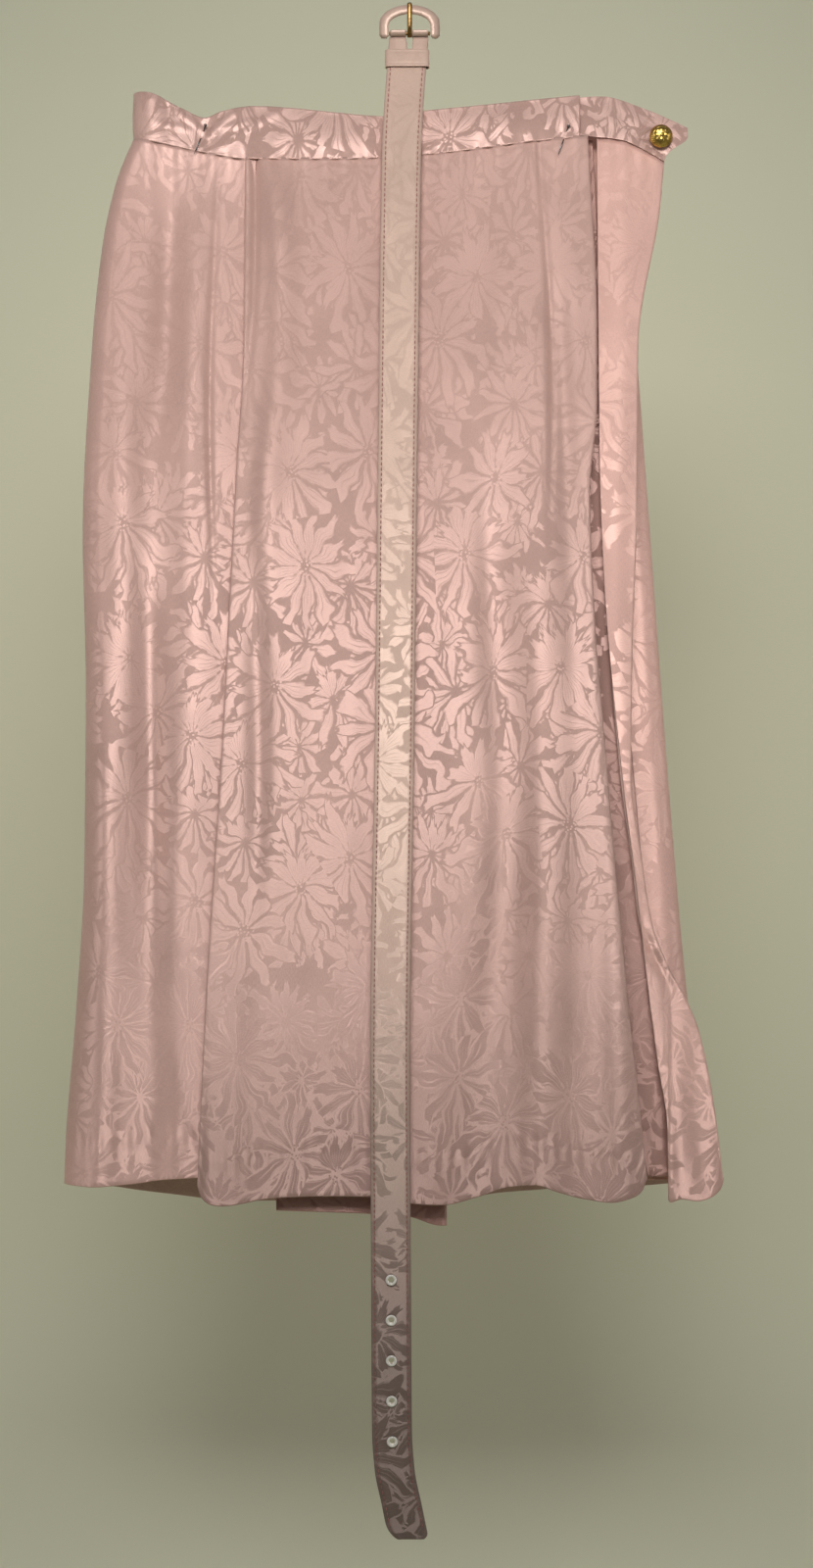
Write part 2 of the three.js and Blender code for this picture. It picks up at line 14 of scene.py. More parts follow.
import bmesh
import bpy
import numpy as np
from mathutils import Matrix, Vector


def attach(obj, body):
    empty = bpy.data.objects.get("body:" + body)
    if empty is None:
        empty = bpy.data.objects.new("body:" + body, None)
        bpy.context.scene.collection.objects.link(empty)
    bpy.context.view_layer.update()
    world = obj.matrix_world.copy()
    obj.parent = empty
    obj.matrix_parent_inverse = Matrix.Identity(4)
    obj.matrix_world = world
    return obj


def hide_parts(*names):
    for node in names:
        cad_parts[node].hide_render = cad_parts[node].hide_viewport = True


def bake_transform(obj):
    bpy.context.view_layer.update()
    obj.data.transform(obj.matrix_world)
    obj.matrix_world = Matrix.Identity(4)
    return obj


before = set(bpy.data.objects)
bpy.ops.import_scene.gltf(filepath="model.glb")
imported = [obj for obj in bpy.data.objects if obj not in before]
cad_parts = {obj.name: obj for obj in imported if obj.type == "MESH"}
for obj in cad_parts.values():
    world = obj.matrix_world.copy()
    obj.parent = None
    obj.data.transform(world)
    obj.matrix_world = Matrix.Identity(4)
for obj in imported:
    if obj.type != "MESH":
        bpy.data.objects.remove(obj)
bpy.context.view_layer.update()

LOG = logging.getLogger("skirt")
MM = 0.001
WEAVE_MAP = "Weave"
FULL_TURN = 6.2832
HALF_TURN = 3.1416
PETAL_PLEATS = 25.13

Array = np.ndarray
Piece = bpy.types.Object
Socket = bpy.types.NodeSocket
Tree = bpy.types.NodeTree
Pair = tuple[float, float]
Triple = tuple[float, float, float]
Colour = tuple[float, float, float, float]

# How a fold leaves its straight course, in millimetres and as shares of its height.
FOLD_WANDER = 2.4
FOLD_WANDER_LENGTH = 58
FOLD_SWELL = 0.3
FOLD_SWELL_LENGTH = 41
FOLD_GAIN = 1.15

# How the cloth behaves, in millimetres: a panel's usual drop, how far down its tuck under the band and
# its gathers reach, the pitch of the gathers, and the pitch and reach of the puckers along the hem.
PANEL_DROP = 700
TUCK_REACH = 22
GATHER_REACH = 16
GATHER_PITCH = 11.5
PUCKER_PITCH = 9.0
PUCKER_REACH = 9
CREASE_WIDTH = 2.2

# A flower: its fewest petals and how many more it may have, a petal's least length and what its draw
# adds, how much longer it is where it hangs down, and how deep its tip is notched.
PETALS_LEAST, PETALS_MORE = 10.0, 3.99
PETAL_LENGTH, PETAL_DRAW = 0.34, 0.26
HEAD_DROOP, TIP_NOTCH = -0.24, -0.09

# Each layer of flowers: the size of its cells in metres, and a petal's width as a share of a cell.
LARGE_FLOWERS = (0.066, 0.056)
SMALL_FLOWERS = (0.055, 0.05)
LEAVES = (0.044, 0.054)

# Threads to the metre, times a full turn: the twill's two counts, and the fine and coarse way of a float.
TWILL = (7200.0, 4100.0)
FLOAT_FINE, FLOAT_COARSE = 1900.0, 420.0

BUTTON_AT = (164.6, -11.3)
LAMP_WHITE = (1.0, 0.985, 0.97)


# ---- outlines and folds
@dataclass(frozen=True)
class Line:
    """A smooth line through a few knots, each a (position, value) pair in rising position."""

    knots: tuple[Pair, ...]

    def __call__(self, at: Array) -> Array:
        """Reads the line: cubic stretches whose slopes never overshoot their knots.

        Args:
            at: positions, of any shape.

        Returns:
            The values there, with the end values held past the ends.
        """
        x, y = np.array(self.knots, float).T
        step = np.diff(x)
        rise = np.diff(y) / step
        slope = np.empty_like(y)
        slope[0], slope[-1] = rise[0], rise[-1]
        before, after = rise[:-1], rise[1:]
        same = before * after > 0
        slope[1:-1] = np.where(same, 2 * before * after / np.where(same, before + after, 1), 0)
        t = np.clip(np.asarray(at, float), x[0], x[-1])
        i = np.clip(np.searchsorted(x, t, side="right") - 1, 0, len(x) - 2)
        s = (t - x[i]) / step[i]
        h00 = (1 + 2 * s) * (1 - s) ** 2
        h10 = s * (1 - s) ** 2
        h01 = s**2 * (3 - 2 * s)
        h11 = s**2 * (s - 1)
        return h00 * y[i] + h10 * step[i] * slope[i] + h01 * y[i + 1] + h11 * step[i] * slope[i + 1]


def line(*knots: Pair) -> Line:
    """A Line from its knots."""
    return Line(tuple(knots))


def smooth(value: Array, start: float, end: float) -> Array:
    """Zero before start, one after end, and an even s-curve between."""
    t = np.clip((np.asarray(value, float) - start) / (end - start), 0, 1)
    return t * t * (3 - 2 * t)


def lerp(a: Array | float, b: Array | float, t: Array | float) -> Array:
    """The value a share t of the way from a to b."""
    return a + (b - a) * t


@dataclass(frozen=True)
class Fold:
    """A soft ridge that wanders down a panel, or a valley where its height is negative.

    centre, width and height are read by the distance below the hang line. skew leans the ridge:
    its flank on the +X side is that many times as wide as the one on the -X side.
    """

    centre: Line
    width: Line
    height: Line
    skew: float = 1.0

    def push(self, x: Array, down: Array) -> Array:
        """How far the fold pushes the cloth to the front: height times a bell across the fold.

        Args:
            x: places across.
            down: places down.

        Returns:
            The push at each place, in millimetres.
        """
        start = float(self.centre(np.array(0.0)))
        off = x - self.centre(down) - FOLD_WANDER * np.sin(down / FOLD_WANDER_LENGTH + start)
        wide = self.width(down) * np.where(off > 0, self.skew, 1.0)
        swell = 1 + FOLD_SWELL * np.sin(down / FOLD_SWELL_LENGTH + 1.7 * start)
        return FOLD_GAIN * self.height(down) * swell * np.exp(-((off / wide) ** 2))


def ripple(x: Array, down: Array, seed: int, size: float, across: float = 1.0) -> Array:
    """Gentle uneven waves between -1 and 1: eight sine waves of random direction, summed.

    Args:
        x: places across.
        down: places down.
        seed: fixes the draw.
        size: the usual distance between two crests, in millimetres.
        across: above 1 the waves run mostly up and down, as drape lines do.

    Returns:
        The wave height at each place.
    """
    draw = np.random.default_rng(seed)
    total = np.zeros(np.broadcast(x, down).shape)
    for _ in range(8):
        angle = draw.uniform(0, math.pi)
        length = size * draw.uniform(0.7, 1.8)
        phase = draw.uniform(0, 2 * math.pi)
        run = x * math.cos(angle) * across + down * math.sin(angle) / across
        total += np.sin(2 * math.pi * run / length + phase)
    return total / 5


# ---- meshes
def make_object(name: str, points: Array, faces: Iterable[Sequence[int]], uv: Array | None = None) -> Piece:
    """A smooth-shaded mesh object at the origin.

    Args:
        name: the piece's name.
        points: vertices in millimetres, one row each.
        faces: vertex numbers of each face.
        uv: the weave coordinates of each vertex in metres, or None.

    Returns:
        The new object.
    """
    mesh = bpy.data.meshes.new(name)
    mesh.from_pydata((points * MM).tolist(), [], [list(f) for f in faces])
    mesh.polygons.foreach_set("use_smooth", np.ones(len(mesh.polygons), bool))
    if uv is not None:
        layer = mesh.uv_layers.new(name=WEAVE_MAP)
        corner = np.empty(len(mesh.loops), np.int32)
        mesh.loops.foreach_get("vertex_index", corner)
        layer.uv.foreach_set("vector", uv[corner].astype(np.float32).ravel())
    mesh.update()
    piece = bpy.data.objects.new(name, mesh)
    bpy.context.scene.collection.objects.link(piece)
    return piece


def grid_faces(rows: int, columns: int, closed_rows: bool = False, closed_columns: bool = False) -> Array:
    """Quads of a grid of vertices numbered row by row, wrapped round where it is closed.

    Args:
        rows: rows of vertices.
        columns: columns of vertices.
        closed_rows: whether the last row joins the first.
        closed_columns: whether the last column joins the first.

    Returns:
        One row of four vertex numbers for each face.
    """
    r = np.arange(rows if closed_rows else rows - 1)[:, None]
    c = np.arange(columns if closed_columns else columns - 1)[None, :]
    r1 = (r + 1) % rows
    c1 = (c + 1) % columns
    quads = np.stack([r * columns + c, r1 * columns + c, r1 * columns + c1, r * columns + c1], axis=-1)
    return quads.reshape(-1, 4)


def capped_tube(rows: int, sides: int) -> list[list[int]]:
    """Faces of a tube numbered ring by ring, with a flat cap at each end.

    Args:
        rows: rings along the tube.
        sides: points in a ring.

    Returns:
        Vertex numbers of each face.
    """
    caps = [list(range(sides - 1, -1, -1)), [(rows - 1) * sides + k for k in range(sides)]]
    return [list(f) for f in grid_faces(rows, sides, closed_columns=True)] + caps


def flat_map(grid: Array, origin: Pair) -> Array:
    """Weave coordinates of a cloth grid: the distance along its own surface, from its middle column.

    Args:
        grid: points, rows down and columns across.
        origin: where the pattern starts, in millimetres.

    Returns:
        A (rows, columns, 2) array in metres.
    """
    across = np.linalg.norm(np.diff(grid, axis=1), axis=2)
    down = np.linalg.norm(np.diff(grid, axis=0), axis=2)
    u = np.concatenate([np.zeros((grid.shape[0], 1)), np.cumsum(across, axis=1)], axis=1)
    v = np.concatenate([np.zeros((1, grid.shape[1])), np.cumsum(down, axis=0)], axis=0)
    middle = grid.shape[1] // 2
    u = u - u[:, middle : middle + 1] + grid[:, middle : middle + 1, 0]
    v = np.broadcast_to(v.mean(axis=1, keepdims=True), v.shape)
    return np.stack([(u + origin[0]) * MM, -(v + origin[1]) * MM], axis=-1)


class Side(Enum):
    """An edge of a panel that is turned to its inside."""

    LEFT = "left"
    RIGHT = "right"
    HEM = "hem"


def cloth_object(name: str, grid: Array, origin: Pair, thickness: float) -> Piece:
    """A sheet of cloth from a grid of its middle surface, given its thickness by a modifier.

    Args:
        name: the piece's name.
        grid: points, rows down and columns across.
        origin: where its pattern starts, in millimetres.
        thickness: the cloth's thickness in millimetres.

    Returns:
        The new object.
    """
    rows, columns = grid.shape[:2]
    uv = flat_map(grid, origin)
    piece = make_object(name, grid.reshape(-1, 3), grid_faces(rows, columns), uv.reshape(-1, 2))
    thicken(piece, thickness)
    return piece


def thicken(piece: Piece, thickness: float) -> None:
    """Gives a sheet its thickness, half to each side of its middle surface.

    Args:
        piece: the sheet.
        thickness: its thickness in millimetres.
    """
    solid = piece.modifiers.new("thickness", "SOLIDIFY")
    solid.thickness = thickness * MM
    solid.offset = 0.0
    solid.use_quality_normals = False


def merged(piece: Piece, distance: float = 0.01) -> Piece:
    """Joins vertices that coincide and turns every face outwards.

    Args:
        piece: a mesh object.
        distance: how near vertices are to join, in millimetres.

    Returns:
        The same object.
    """
    work = bmesh.new()
    work.from_mesh(piece.data)
    bmesh.ops.remove_doubles(work, verts=work.verts, dist=distance * MM)
    bmesh.ops.recalc_face_normals(work, faces=work.faces)
    work.to_mesh(piece.data)
    work.free()
    return piece


def turned(name: str, profile: Sequence[Pair], sides: int, place: Callable[[Array], Array],
           relief: Callable[[Array, Array], Array] | None = None) -> Piece:
    """A surface of revolution: the profile's (radius, height) points carried round the height axis.

    Args:
        name: the piece's name.
        profile: points from one end to the other; a closed ring repeats its first point.
        sides: points round the axis.
        place: turns points with the axis along +Z at the origin into the shared frame.
        relief: extra height for arrays of radius and angle, or None.

    Returns:
        The new object, closed.
    """
    radius, height = np.array(profile, float).T
    angle = np.linspace(0, 2 * math.pi, sides, endpoint=False)
    r = np.broadcast_to(radius[:, None], (len(radius), sides))
    a = np.broadcast_to(angle[None, :], r.shape)
    z = np.broadcast_to(height[:, None], r.shape)
    if relief is not None:
        z = z + relief(r, a)
    points = np.stack([r * np.cos(a), r * np.sin(a), z], axis=-1).reshape(-1, 3)
    piece = make_object(name, place(points), grid_faces(len(radius), sides, closed_columns=True),
                        np.stack([r * np.cos(a), r * np.sin(a)], axis=-1).reshape(-1, 2) * MM)
    return merged(piece, 0.002)


# ---- shader graphs
class Graph:
    """Adds nodes to one node tree and links them, so that a formula reads as one line each."""

    def __init__(self, tree: Tree) -> None:
        """Works on the given tree, which starts empty."""
        self.tree = tree

    def node(self, kind: str, **settings: object) -> bpy.types.Node:
        """A new node of that kind, with its settings.

        Args:
            kind: the node's type name.
            settings: its attributes.

        Returns:
            The node.
        """
        made = self.tree.nodes.new(kind)
        for key, value in settings.items():
            setattr(made, key, value)
        return made

    def feed(self, socket: Socket, value: object) -> None:
        """Links a socket to another, or sets it to a number, colour or vector.

        Args:
            socket: the input to fill.
            value: another socket, or a plain value.
        """
        if isinstance(value, Socket):
            self.tree.links.new(value, socket)
        else:
            socket.default_value = value

    def math(self, operation: str, a: object, b: object = None, c: object = None,
             clamp: bool = False) -> Socket:
        """The result of one maths node.

        Args:
            operation: Blender's name for it, such as "ADD".
            a: first value, a number or a socket.
            b: second value, where the operation takes one.
            c: third value, where the operation takes one.
            clamp: whether the result is kept between 0 and 1.

        Returns:
            The output socket.
        """
        made = self.node("ShaderNodeMath", operation=operation, use_clamp=clamp)
        for socket, value in zip(made.inputs, (a, b, c)):
            if value is not None:
                self.feed(socket, value)
        return made.outputs[0]

    def vector(self, operation: str, a: object, b: object = None) -> Socket:
        """The vector result of one vector maths node.

        Args:
            operation: Blender's name for it.
            a: first vector.
            b: second vector, where it takes one.

        Returns:
            The output socket.
        """
        made = self.node("ShaderNodeVectorMath", operation=operation)
        self.feed(made.inputs[0], a)
        if b is not None:
            self.feed(made.inputs[1], b)
        return made.outputs[0]

    def ramp(self, value: object, low: float, high: float, to_low: float = 0.0,
             to_high: float = 1.0) -> Socket:
        """An s-curve from to_low at low to to_high at high.

        Args:
            value: what is read.
            low: where the curve starts.
            high: where it ends.
            to_low: the result at and below low.
            to_high: the result at and above high.

        Returns:
            The output socket.
        """
        made = self.node("ShaderNodeMapRange", interpolation_type="SMOOTHSTEP")
        for socket, given in zip(made.inputs, (value, low, high, to_low, to_high)):
            self.feed(socket, given)
        return made.outputs[0]

    def mix(self, share: object, a: object, b: object) -> Socket:
        """The colour a share of the way from a to b.

        Args:
            share: 0 for a, 1 for b.
            a: first colour.
            b: second colour.

        Returns:
            The output socket.
        """
        made = self.node("ShaderNodeMix", data_type="RGBA")
        self.feed(made.inputs[0], share)
        self.feed(made.inputs[6], a)
        self.feed(made.inputs[7], b)
        return made.outputs[2]

    def shade(self, colour: object, amount: object) -> Socket:
        """The colour times a brightness.

        Args:
            colour: the colour.
            amount: what it is multiplied by.

        Returns:
            The output socket.
        """
        made = self.node("ShaderNodeVectorMath", operation="SCALE")
        self.feed(made.inputs[0], colour)
        self.feed(made.inputs[3], amount)
        return made.outputs[0]

    def noise(self, at: object, scale: float, detail: float = 3.0, rough: float = 0.55) -> Socket:
        """Even noise between 0 and 1.

        Args:
            at: the coordinates.
            scale: how fine it is.
            detail: how many finer layers it has.
            rough: how strong each finer layer is.

        Returns:
            The output socket.
        """
        made = self.node("ShaderNodeTexNoise")
        for name, value in (("Vector", at), ("Scale", scale), ("Detail", detail), ("Roughness", rough)):
            self.feed(made.inputs[name], value)
        return made.outputs[0]

    def scaled(self, at: object, x: float, y: float, z: float = 1.0) -> Socket:
        """The coordinates stretched along each axis."""
        return self.vector("MULTIPLY", at, (x, y, z))

    def bump(self, shader: bpy.types.Node, height: object, strength: float, distance: float,
             normal: object = None) -> None:
        """Feeds a shader's normal from a bump over the height.

        Args:
            shader: the shader.
            height: the height that the bump reads.
            strength: the bump's strength.
            distance: the height of a full step, in metres.
            normal: the normal that is bumped, or None for the surface's own.
        """
        made = self.node("ShaderNodeBump")
        made.inputs["Strength"].default_value = strength
        made.inputs["Distance"].default_value = distance
        self.feed(made.inputs["Height"], height)
        if normal is not None:
            self.feed(made.inputs["Normal"], normal)
        self.feed(shader.inputs["Normal"], made.outputs[0])

    def use(self, group: Tree, **inputs: object) -> dict[str, Socket]:
        """Places a node group, feeds its inputs by name, and returns its outputs by name.

        Args:
            group: the group.
            inputs: a value or socket for each named input.

        Returns:
            Its output sockets by name.
        """
        made = self.node("ShaderNodeGroup")
        made.node_tree = group
        for name, value in inputs.items():
            self.feed(made.inputs[name.replace("_", " ")], value)
        return {socket.name: socket for socket in made.outputs}


def new_group(name: str, inputs: Sequence[tuple[str, str, object]],
              outputs: Sequence[tuple[str, str]]) -> tuple[Tree, Graph, dict]:
    """An empty shader group with named sockets.

    Args:
        name: the group's name.
        inputs: (name, socket kind, default value) of each.
        outputs: (name, socket kind) of each.

    Returns:
        The group, a Graph on it, and a dict of its input sockets plus "out", the output node.
    """
    group = bpy.data.node_groups.new(name, "ShaderNodeTree")
    for label, kind, default in inputs:
        socket = group.interface.new_socket(label, in_out="INPUT", socket_type=f"NodeSocket{kind}")
        if default is not None:
            socket.default_value = default
    for label, kind in outputs:
        group.interface.new_socket(label, in_out="OUTPUT", socket_type=f"NodeSocket{kind}")
    start = group.nodes.new("NodeGroupInput")
    end = group.nodes.new("NodeGroupOutput")
    sockets = {s.name: s for s in start.outputs if s.name}
    sockets["out"] = end
    return group, Graph(group), sockets


def finish_group(graph: Graph, sockets: dict, **outputs: object) -> None:
    """Links a group's results to its output node by name."""
    for name, value in outputs.items():
        graph.feed(sockets["out"].inputs[name.replace("_", " ")], value)


def flower_group() -> Tree:
    """Scattered flowers: each cell of an uneven grid holds 10 to 13 narrow petals round its centre.

    A petal is a lens shape across its angle, its length drawn for each petal and its tip notched.
    Those that point down are longer, as the heads droop.
    Fine strokes run along it from a centre of stamen dots.

    Returns:
        The group.
    """
    group, g, s = new_group(
        "Woven flowers",
        [("Vector", "Vector", None), ("Size", "Float", 0.075), ("Seed", "Float", 0.0),
         ("Petal width", "Float", 0.085)],
        [("Petal", "Float"), ("Stroke", "Float"), ("Stamen", "Float"), ("Reach", "Float")],
    )
    shift = g.node("ShaderNodeCombineXYZ")
    g.feed(shift.inputs[0], s["Seed"])
    g.feed(shift.inputs[1], g.math("MULTIPLY", s["Seed"], 1.7))
    scaled = g.node("ShaderNodeVectorMath", operation="SCALE")
    g.feed(scaled.inputs[0], s["Vector"])
    g.feed(scaled.inputs[3], g.math("DIVIDE", 1.0, s["Size"]))
    place = g.vector("ADD", scaled.outputs[0], shift.outputs[0])
    cells = g.node("ShaderNodeTexVoronoi", voronoi_dimensions="2D")
    g.feed(cells.inputs["Vector"], place)
    g.feed(cells.inputs["Scale"], 1.0)
    g.feed(cells.inputs["Randomness"], 0.72)
    local = g.vector("SUBTRACT", place, cells.outputs["Position"])
    local = g.scaled(local, 1.0, 0.74, 0.0)
    axes = g.node("ShaderNodeSeparateXYZ")
    g.feed(axes.inputs[0], local)
    draw = g.node("ShaderNodeSeparateColor")
    g.feed(draw.inputs[0], cells.outputs["Color"])
    bend = g.noise(place, 3.2, 1.0)
    ragged = g.math("SUBTRACT", g.noise(place, 17.0, 2.0), 0.5)
    spin = g.math("ADD", g.math("MULTIPLY", draw.outputs[0], FULL_TURN), g.math("MULTIPLY", bend, 0.7))
    radius = g.node("ShaderNodeVectorMath", operation="LENGTH")
    g.feed(radius.inputs[0], local)
    radius = radius.outputs["Value"]
    angle = g.math("ADD", g.math("ARCTAN2", axes.outputs[1], axes.outputs[0]), spin)
    count = g.math("ADD", PETALS_LEAST, g.math("FLOOR", g.math("MULTIPLY", draw.outputs[2], PETALS_MORE)))
    turn = g.math("MULTIPLY", g.math("DIVIDE", angle, FULL_TURN), count)
    index = g.math("FLOOR", turn)
    across = g.math("SUBTRACT", g.math("SUBTRACT", turn, index), 0.5)
    key = g.node("ShaderNodeCombineXYZ")
    g.feed(key.inputs[0], g.math("FLOORED_MODULO", index, count))
    g.feed(key.inputs[1], g.math("MULTIPLY", draw.outputs[1], 57.0))
    chance = g.node("ShaderNodeTexWhiteNoise", noise_dimensions="2D")
    g.feed(chance.inputs["Vector"], key.outputs[0])
    length = g.math("MULTIPLY_ADD", chance.outputs["Value"], PETAL_DRAW, PETAL_LENGTH)
    droop = g.math("DIVIDE", axes.outputs[1], g.math("ADD", radius, 0.01))
    length = g.math("MULTIPLY", length, g.math("MULTIPLY_ADD", droop, HEAD_DROOP, 1.08))
    length = g.math("MULTIPLY", length, g.math("MULTIPLY_ADD", draw.outputs[1], 0.3, 0.86))
    pleats = g.math("COSINE", g.math("MULTIPLY", across, PETAL_PLEATS))
    notch = g.math("MULTIPLY_ADD", pleats, TIP_NOTCH, 1.0)
    along = g.math("DIVIDE", radius, g.math("MULTIPLY", length, notch))
    lens = g.math("SINE", g.math("MULTIPLY", g.math("POWER", g.math("MINIMUM", along, 1.0), 1.2),
                                 HALF_TURN))
    turned_by = g.math("DIVIDE", g.math("MULTIPLY", g.math("ABSOLUTE", across), FULL_TURN), count)
    off = g.math("MULTIPLY", turned_by, radius)
    edge = g.math("SUBTRACT", g.math("MULTIPLY", g.math("POWER", lens, 1.1), s["Petal width"]), off)
    edge = g.math("MULTIPLY_ADD", ragged, 0.035, edge)
    edge = g.math("SUBTRACT", edge, g.math("MAXIMUM", g.math("SUBTRACT", along, 1.0), 0.0))
    petal = g.ramp(edge, -0.004, 0.012)
    petal = g.math("MULTIPLY", petal, g.ramp(along, 0.06, 0.14))
    stroke = g.math("MULTIPLY", g.ramp(pleats, 0.6, 0.95), g.ramp(along, 0.14, 0.24))
    stroke = g.math("MULTIPLY", stroke, g.ramp(along, 0.5, 0.78, 1.0, 0.0))
    dots = g.node("ShaderNodeTexVoronoi", voronoi_dimensions="2D")
    g.feed(dots.inputs["Vector"], place)
    g.feed(dots.inputs["Scale"], 26.0)
    stamen = g.ramp(dots.outputs["Distance"], 0.2, 0.34, 1.0, 0.0)
    stamen = g.math("MULTIPLY", stamen, g.ramp(radius, 0.07, 0.1, 1.0, 0.0))
    finish_group(g, s, Petal=petal, Stroke=g.math("MULTIPLY", stroke, petal), Stamen=stamen,
                 Reach=g.ramp(edge, -0.012, -0.026))
    return group


def flower_layer(graph: Graph, flowers: Tree, sockets: dict, layer: Pair,
                 shift: float) -> dict[str, Socket]:
    """Places one layer of flowers in the satin group.

    Args:
        graph: the satin group's graph.
        flowers: the group that draws a layer.
        sockets: the satin group's inputs.
        layer: its cell size and petal width.
        shift: what is added to the seed, so that no two layers match.

    Returns:
        The layer's outputs by name.
    """
    size, width = layer
    seed = graph.math("ADD", sockets["Seed"], shift) if shift else sockets["Seed"]
    return graph.use(flowers, Vector=sockets["Vector"], Size=size, Seed=seed, Petal_width=width)


def satin_group(flowers: Tree) -> Tree:
    """Satin with a woven pattern: a mask of where warp threads float, weave relief and soft unevenness.

    Args:
        flowers: the group that draws one layer of flowers.

    Returns:
        The group.
    """
    group, g, s = new_group(
        "Patterned satin",
        [("Vector", "Vector", None), ("Seed", "Float", 0.0), ("Flowers", "Float", 1.0),
         ("Plain above", "Float", 1.0)],
        [("Motif", "Float"), ("Relief", "Float"), ("Cloud", "Float"), ("Thread", "Float")],
    )
    large = flower_layer(g, flowers, s, LARGE_FLOWERS, 0.0)
    small = flower_layer(g, flowers, s, SMALL_FLOWERS, 4.3)
    leaves = flower_layer(g, flowers, s, LEAVES, 9.1)
    motif = g.math("SUBTRACT", large["Petal"], g.math("MULTIPLY", large["Stroke"], 0.55))
    motif = g.math("MAXIMUM", motif, large["Stamen"])
    free = large["Reach"]
    for layer in (small, leaves):
        fill = g.math("SUBTRACT", layer["Petal"], g.math("MULTIPLY", layer["Stroke"], 0.5))
        motif = g.math("MAXIMUM", motif, g.math("MULTIPLY", fill, free))
        free = g.math("MULTIPLY", free, layer["Reach"])
    axes = g.node("ShaderNodeSeparateXYZ")
    g.feed(axes.inputs[0], s["Vector"])
    # Painted light: above the Plain above height the flowers fade towards an even mix, standing in for the
    # light that washes the pattern out at the top.
    painted_plain_top = g.math("SUBTRACT", axes.outputs[1], s["Plain above"])
    painted_plain_top = g.ramp(g.math("ADD", painted_plain_top, g.math("MULTIPLY", g.noise(s["Vector"], 9.0, 2.0), 0.12)), -0.06, 0.2)
    motif = g.math("MULTIPLY", motif, s["Flowers"], clamp=True)
    motif = g.math("ADD", g.math("MULTIPLY", motif,
                                 g.math("SUBTRACT", 1.0, g.math("MULTIPLY", painted_plain_top, 0.74))),
                   g.math("MULTIPLY", painted_plain_top, 0.36))
    diagonal = g.math("ADD", g.math("MULTIPLY", axes.outputs[0], TWILL[0]),
                      g.math("MULTIPLY", axes.outputs[1], TWILL[1]))
    twill = g.math("SINE", diagonal)
    thread = g.noise(g.scaled(s["Vector"], FLOAT_FINE, FLOAT_COARSE), 1.0, 3.0, 0.7)
    weft = g.noise(g.scaled(s["Vector"], FLOAT_COARSE, FLOAT_FINE), 1.0, 3.0, 0.7)
    warp = g.math("MULTIPLY", thread, g.math("SUBTRACT", 1.0, motif))
    threads = g.math("ADD", warp, g.math("MULTIPLY", weft, motif))
    relief = g.math("ADD", g.math("MULTIPLY", twill, 0.12), g.math("MULTIPLY", threads, 0.8))
    relief = g.math("ADD", relief, g.math("MULTIPLY", motif, 0.9))
    cloud = g.noise(s["Vector"], 14.0, 4.0, 0.6)
    finish_group(g, s, Motif=motif, Relief=relief, Cloud=cloud, Thread=threads)
    return group


def metal_group() -> Tree:
    """Plated metal: tarnish clouds, fine scratches and a grain, from object coordinates.

    Returns:
        The group.
    """
    group, g, s = new_group(
        "Worn plating",
        [("Vector", "Vector", None), ("Bright", "Color", (1, 1, 1, 1)), ("Dark", "Color", (0, 0, 0, 1)),
         ("Rough", "Float", 0.3)],
        [("Color", "Color"), ("Roughness", "Float"), ("Height", "Float")],
    )
    cloud = g.noise(s["Vector"], 420.0, 5.0, 0.65)
    scratch = g.noise(g.scaled(s["Vector"], 900.0, 900.0, 9000.0), 1.0, 2.0)
    spots = g.noise(s["Vector"], 1900.0, 2.0)
    share = g.math("ADD", g.ramp(cloud, 0.42, 0.72), g.math("MULTIPLY", g.ramp(spots, 0.6, 0.75), 0.3),
                   clamp=True)
    colour = g.mix(g.math("MULTIPLY", share, 0.6), s["Bright"], s["Dark"])
    rough = g.math("ADD", s["Rough"], g.math("MULTIPLY", g.math("SUBTRACT", scratch, 0.5), 0.25))
    rough = g.math("ADD", rough, g.math("MULTIPLY", share, 0.12))
    height = g.math("ADD", g.math("MULTIPLY", scratch, 0.5), g.math("MULTIPLY", spots, 0.4))
    finish_group(g, s, Color=colour, Roughness=rough, Height=height)
    return group


def fibre_group() -> Tree:
    """Pressed fibres, resin marbling and soft dirt for the plain pieces, from object coordinates.

    Returns:
        The group.
    """
    group, g, s = new_group(
        "Pressed fibres",
        [("Vector", "Vector", None), ("Light", "Color", (1, 1, 1, 1)), ("Deep", "Color", (0, 0, 0, 1)),
         ("Grain", "Float", 900.0)],
        [("Color", "Color"), ("Height", "Float"), ("Roughness", "Float")],
    )
    grain = g.node("ShaderNodeTexNoise")
    g.feed(grain.inputs["Vector"], s["Vector"])
    g.feed(grain.inputs["Scale"], s["Grain"])
    g.feed(grain.inputs["Detail"], 4.0)
    cloud = g.noise(s["Vector"], 60.0, 3.0)
    share = g.math("ADD", g.math("MULTIPLY", grain.outputs[0], 0.7), g.math("MULTIPLY", cloud, 0.5),
                   clamp=True)
    finish_group(g, s, Color=g.mix(share, s["Deep"], s["Light"]), Height=grain.outputs[0],
                 Roughness=g.math("MULTIPLY_ADD", grain.outputs[0], 0.2, 0.45))
    return group


def srgb(red: int, green: int, blue: int) -> Colour:
    """A linear colour from its screen values, 0 to 255.

    Args:
        red: how much red.
        green: how much green.
        blue: how much blue.

    Returns:
        The linear colour, opaque.
    """
    scaled = [c / 255 for c in (red, green, blue)]
    linear = [c / 12.92 if c <= 0.04045 else ((c + 0.055) / 1.055) ** 2.4 for c in scaled]
    return (*linear, 1.0)


@dataclass
class Groups:
    """The shader groups that every finish shares."""

    flowers: Tree = field(default_factory=flower_group)
    satin: Tree | None = None
    metal: Tree = field(default_factory=metal_group)
    fibre: Tree = field(default_factory=fibre_group)

    def __post_init__(self) -> None:
        """Builds the satin group on top of the flowers."""
        self.satin = satin_group(self.flowers)


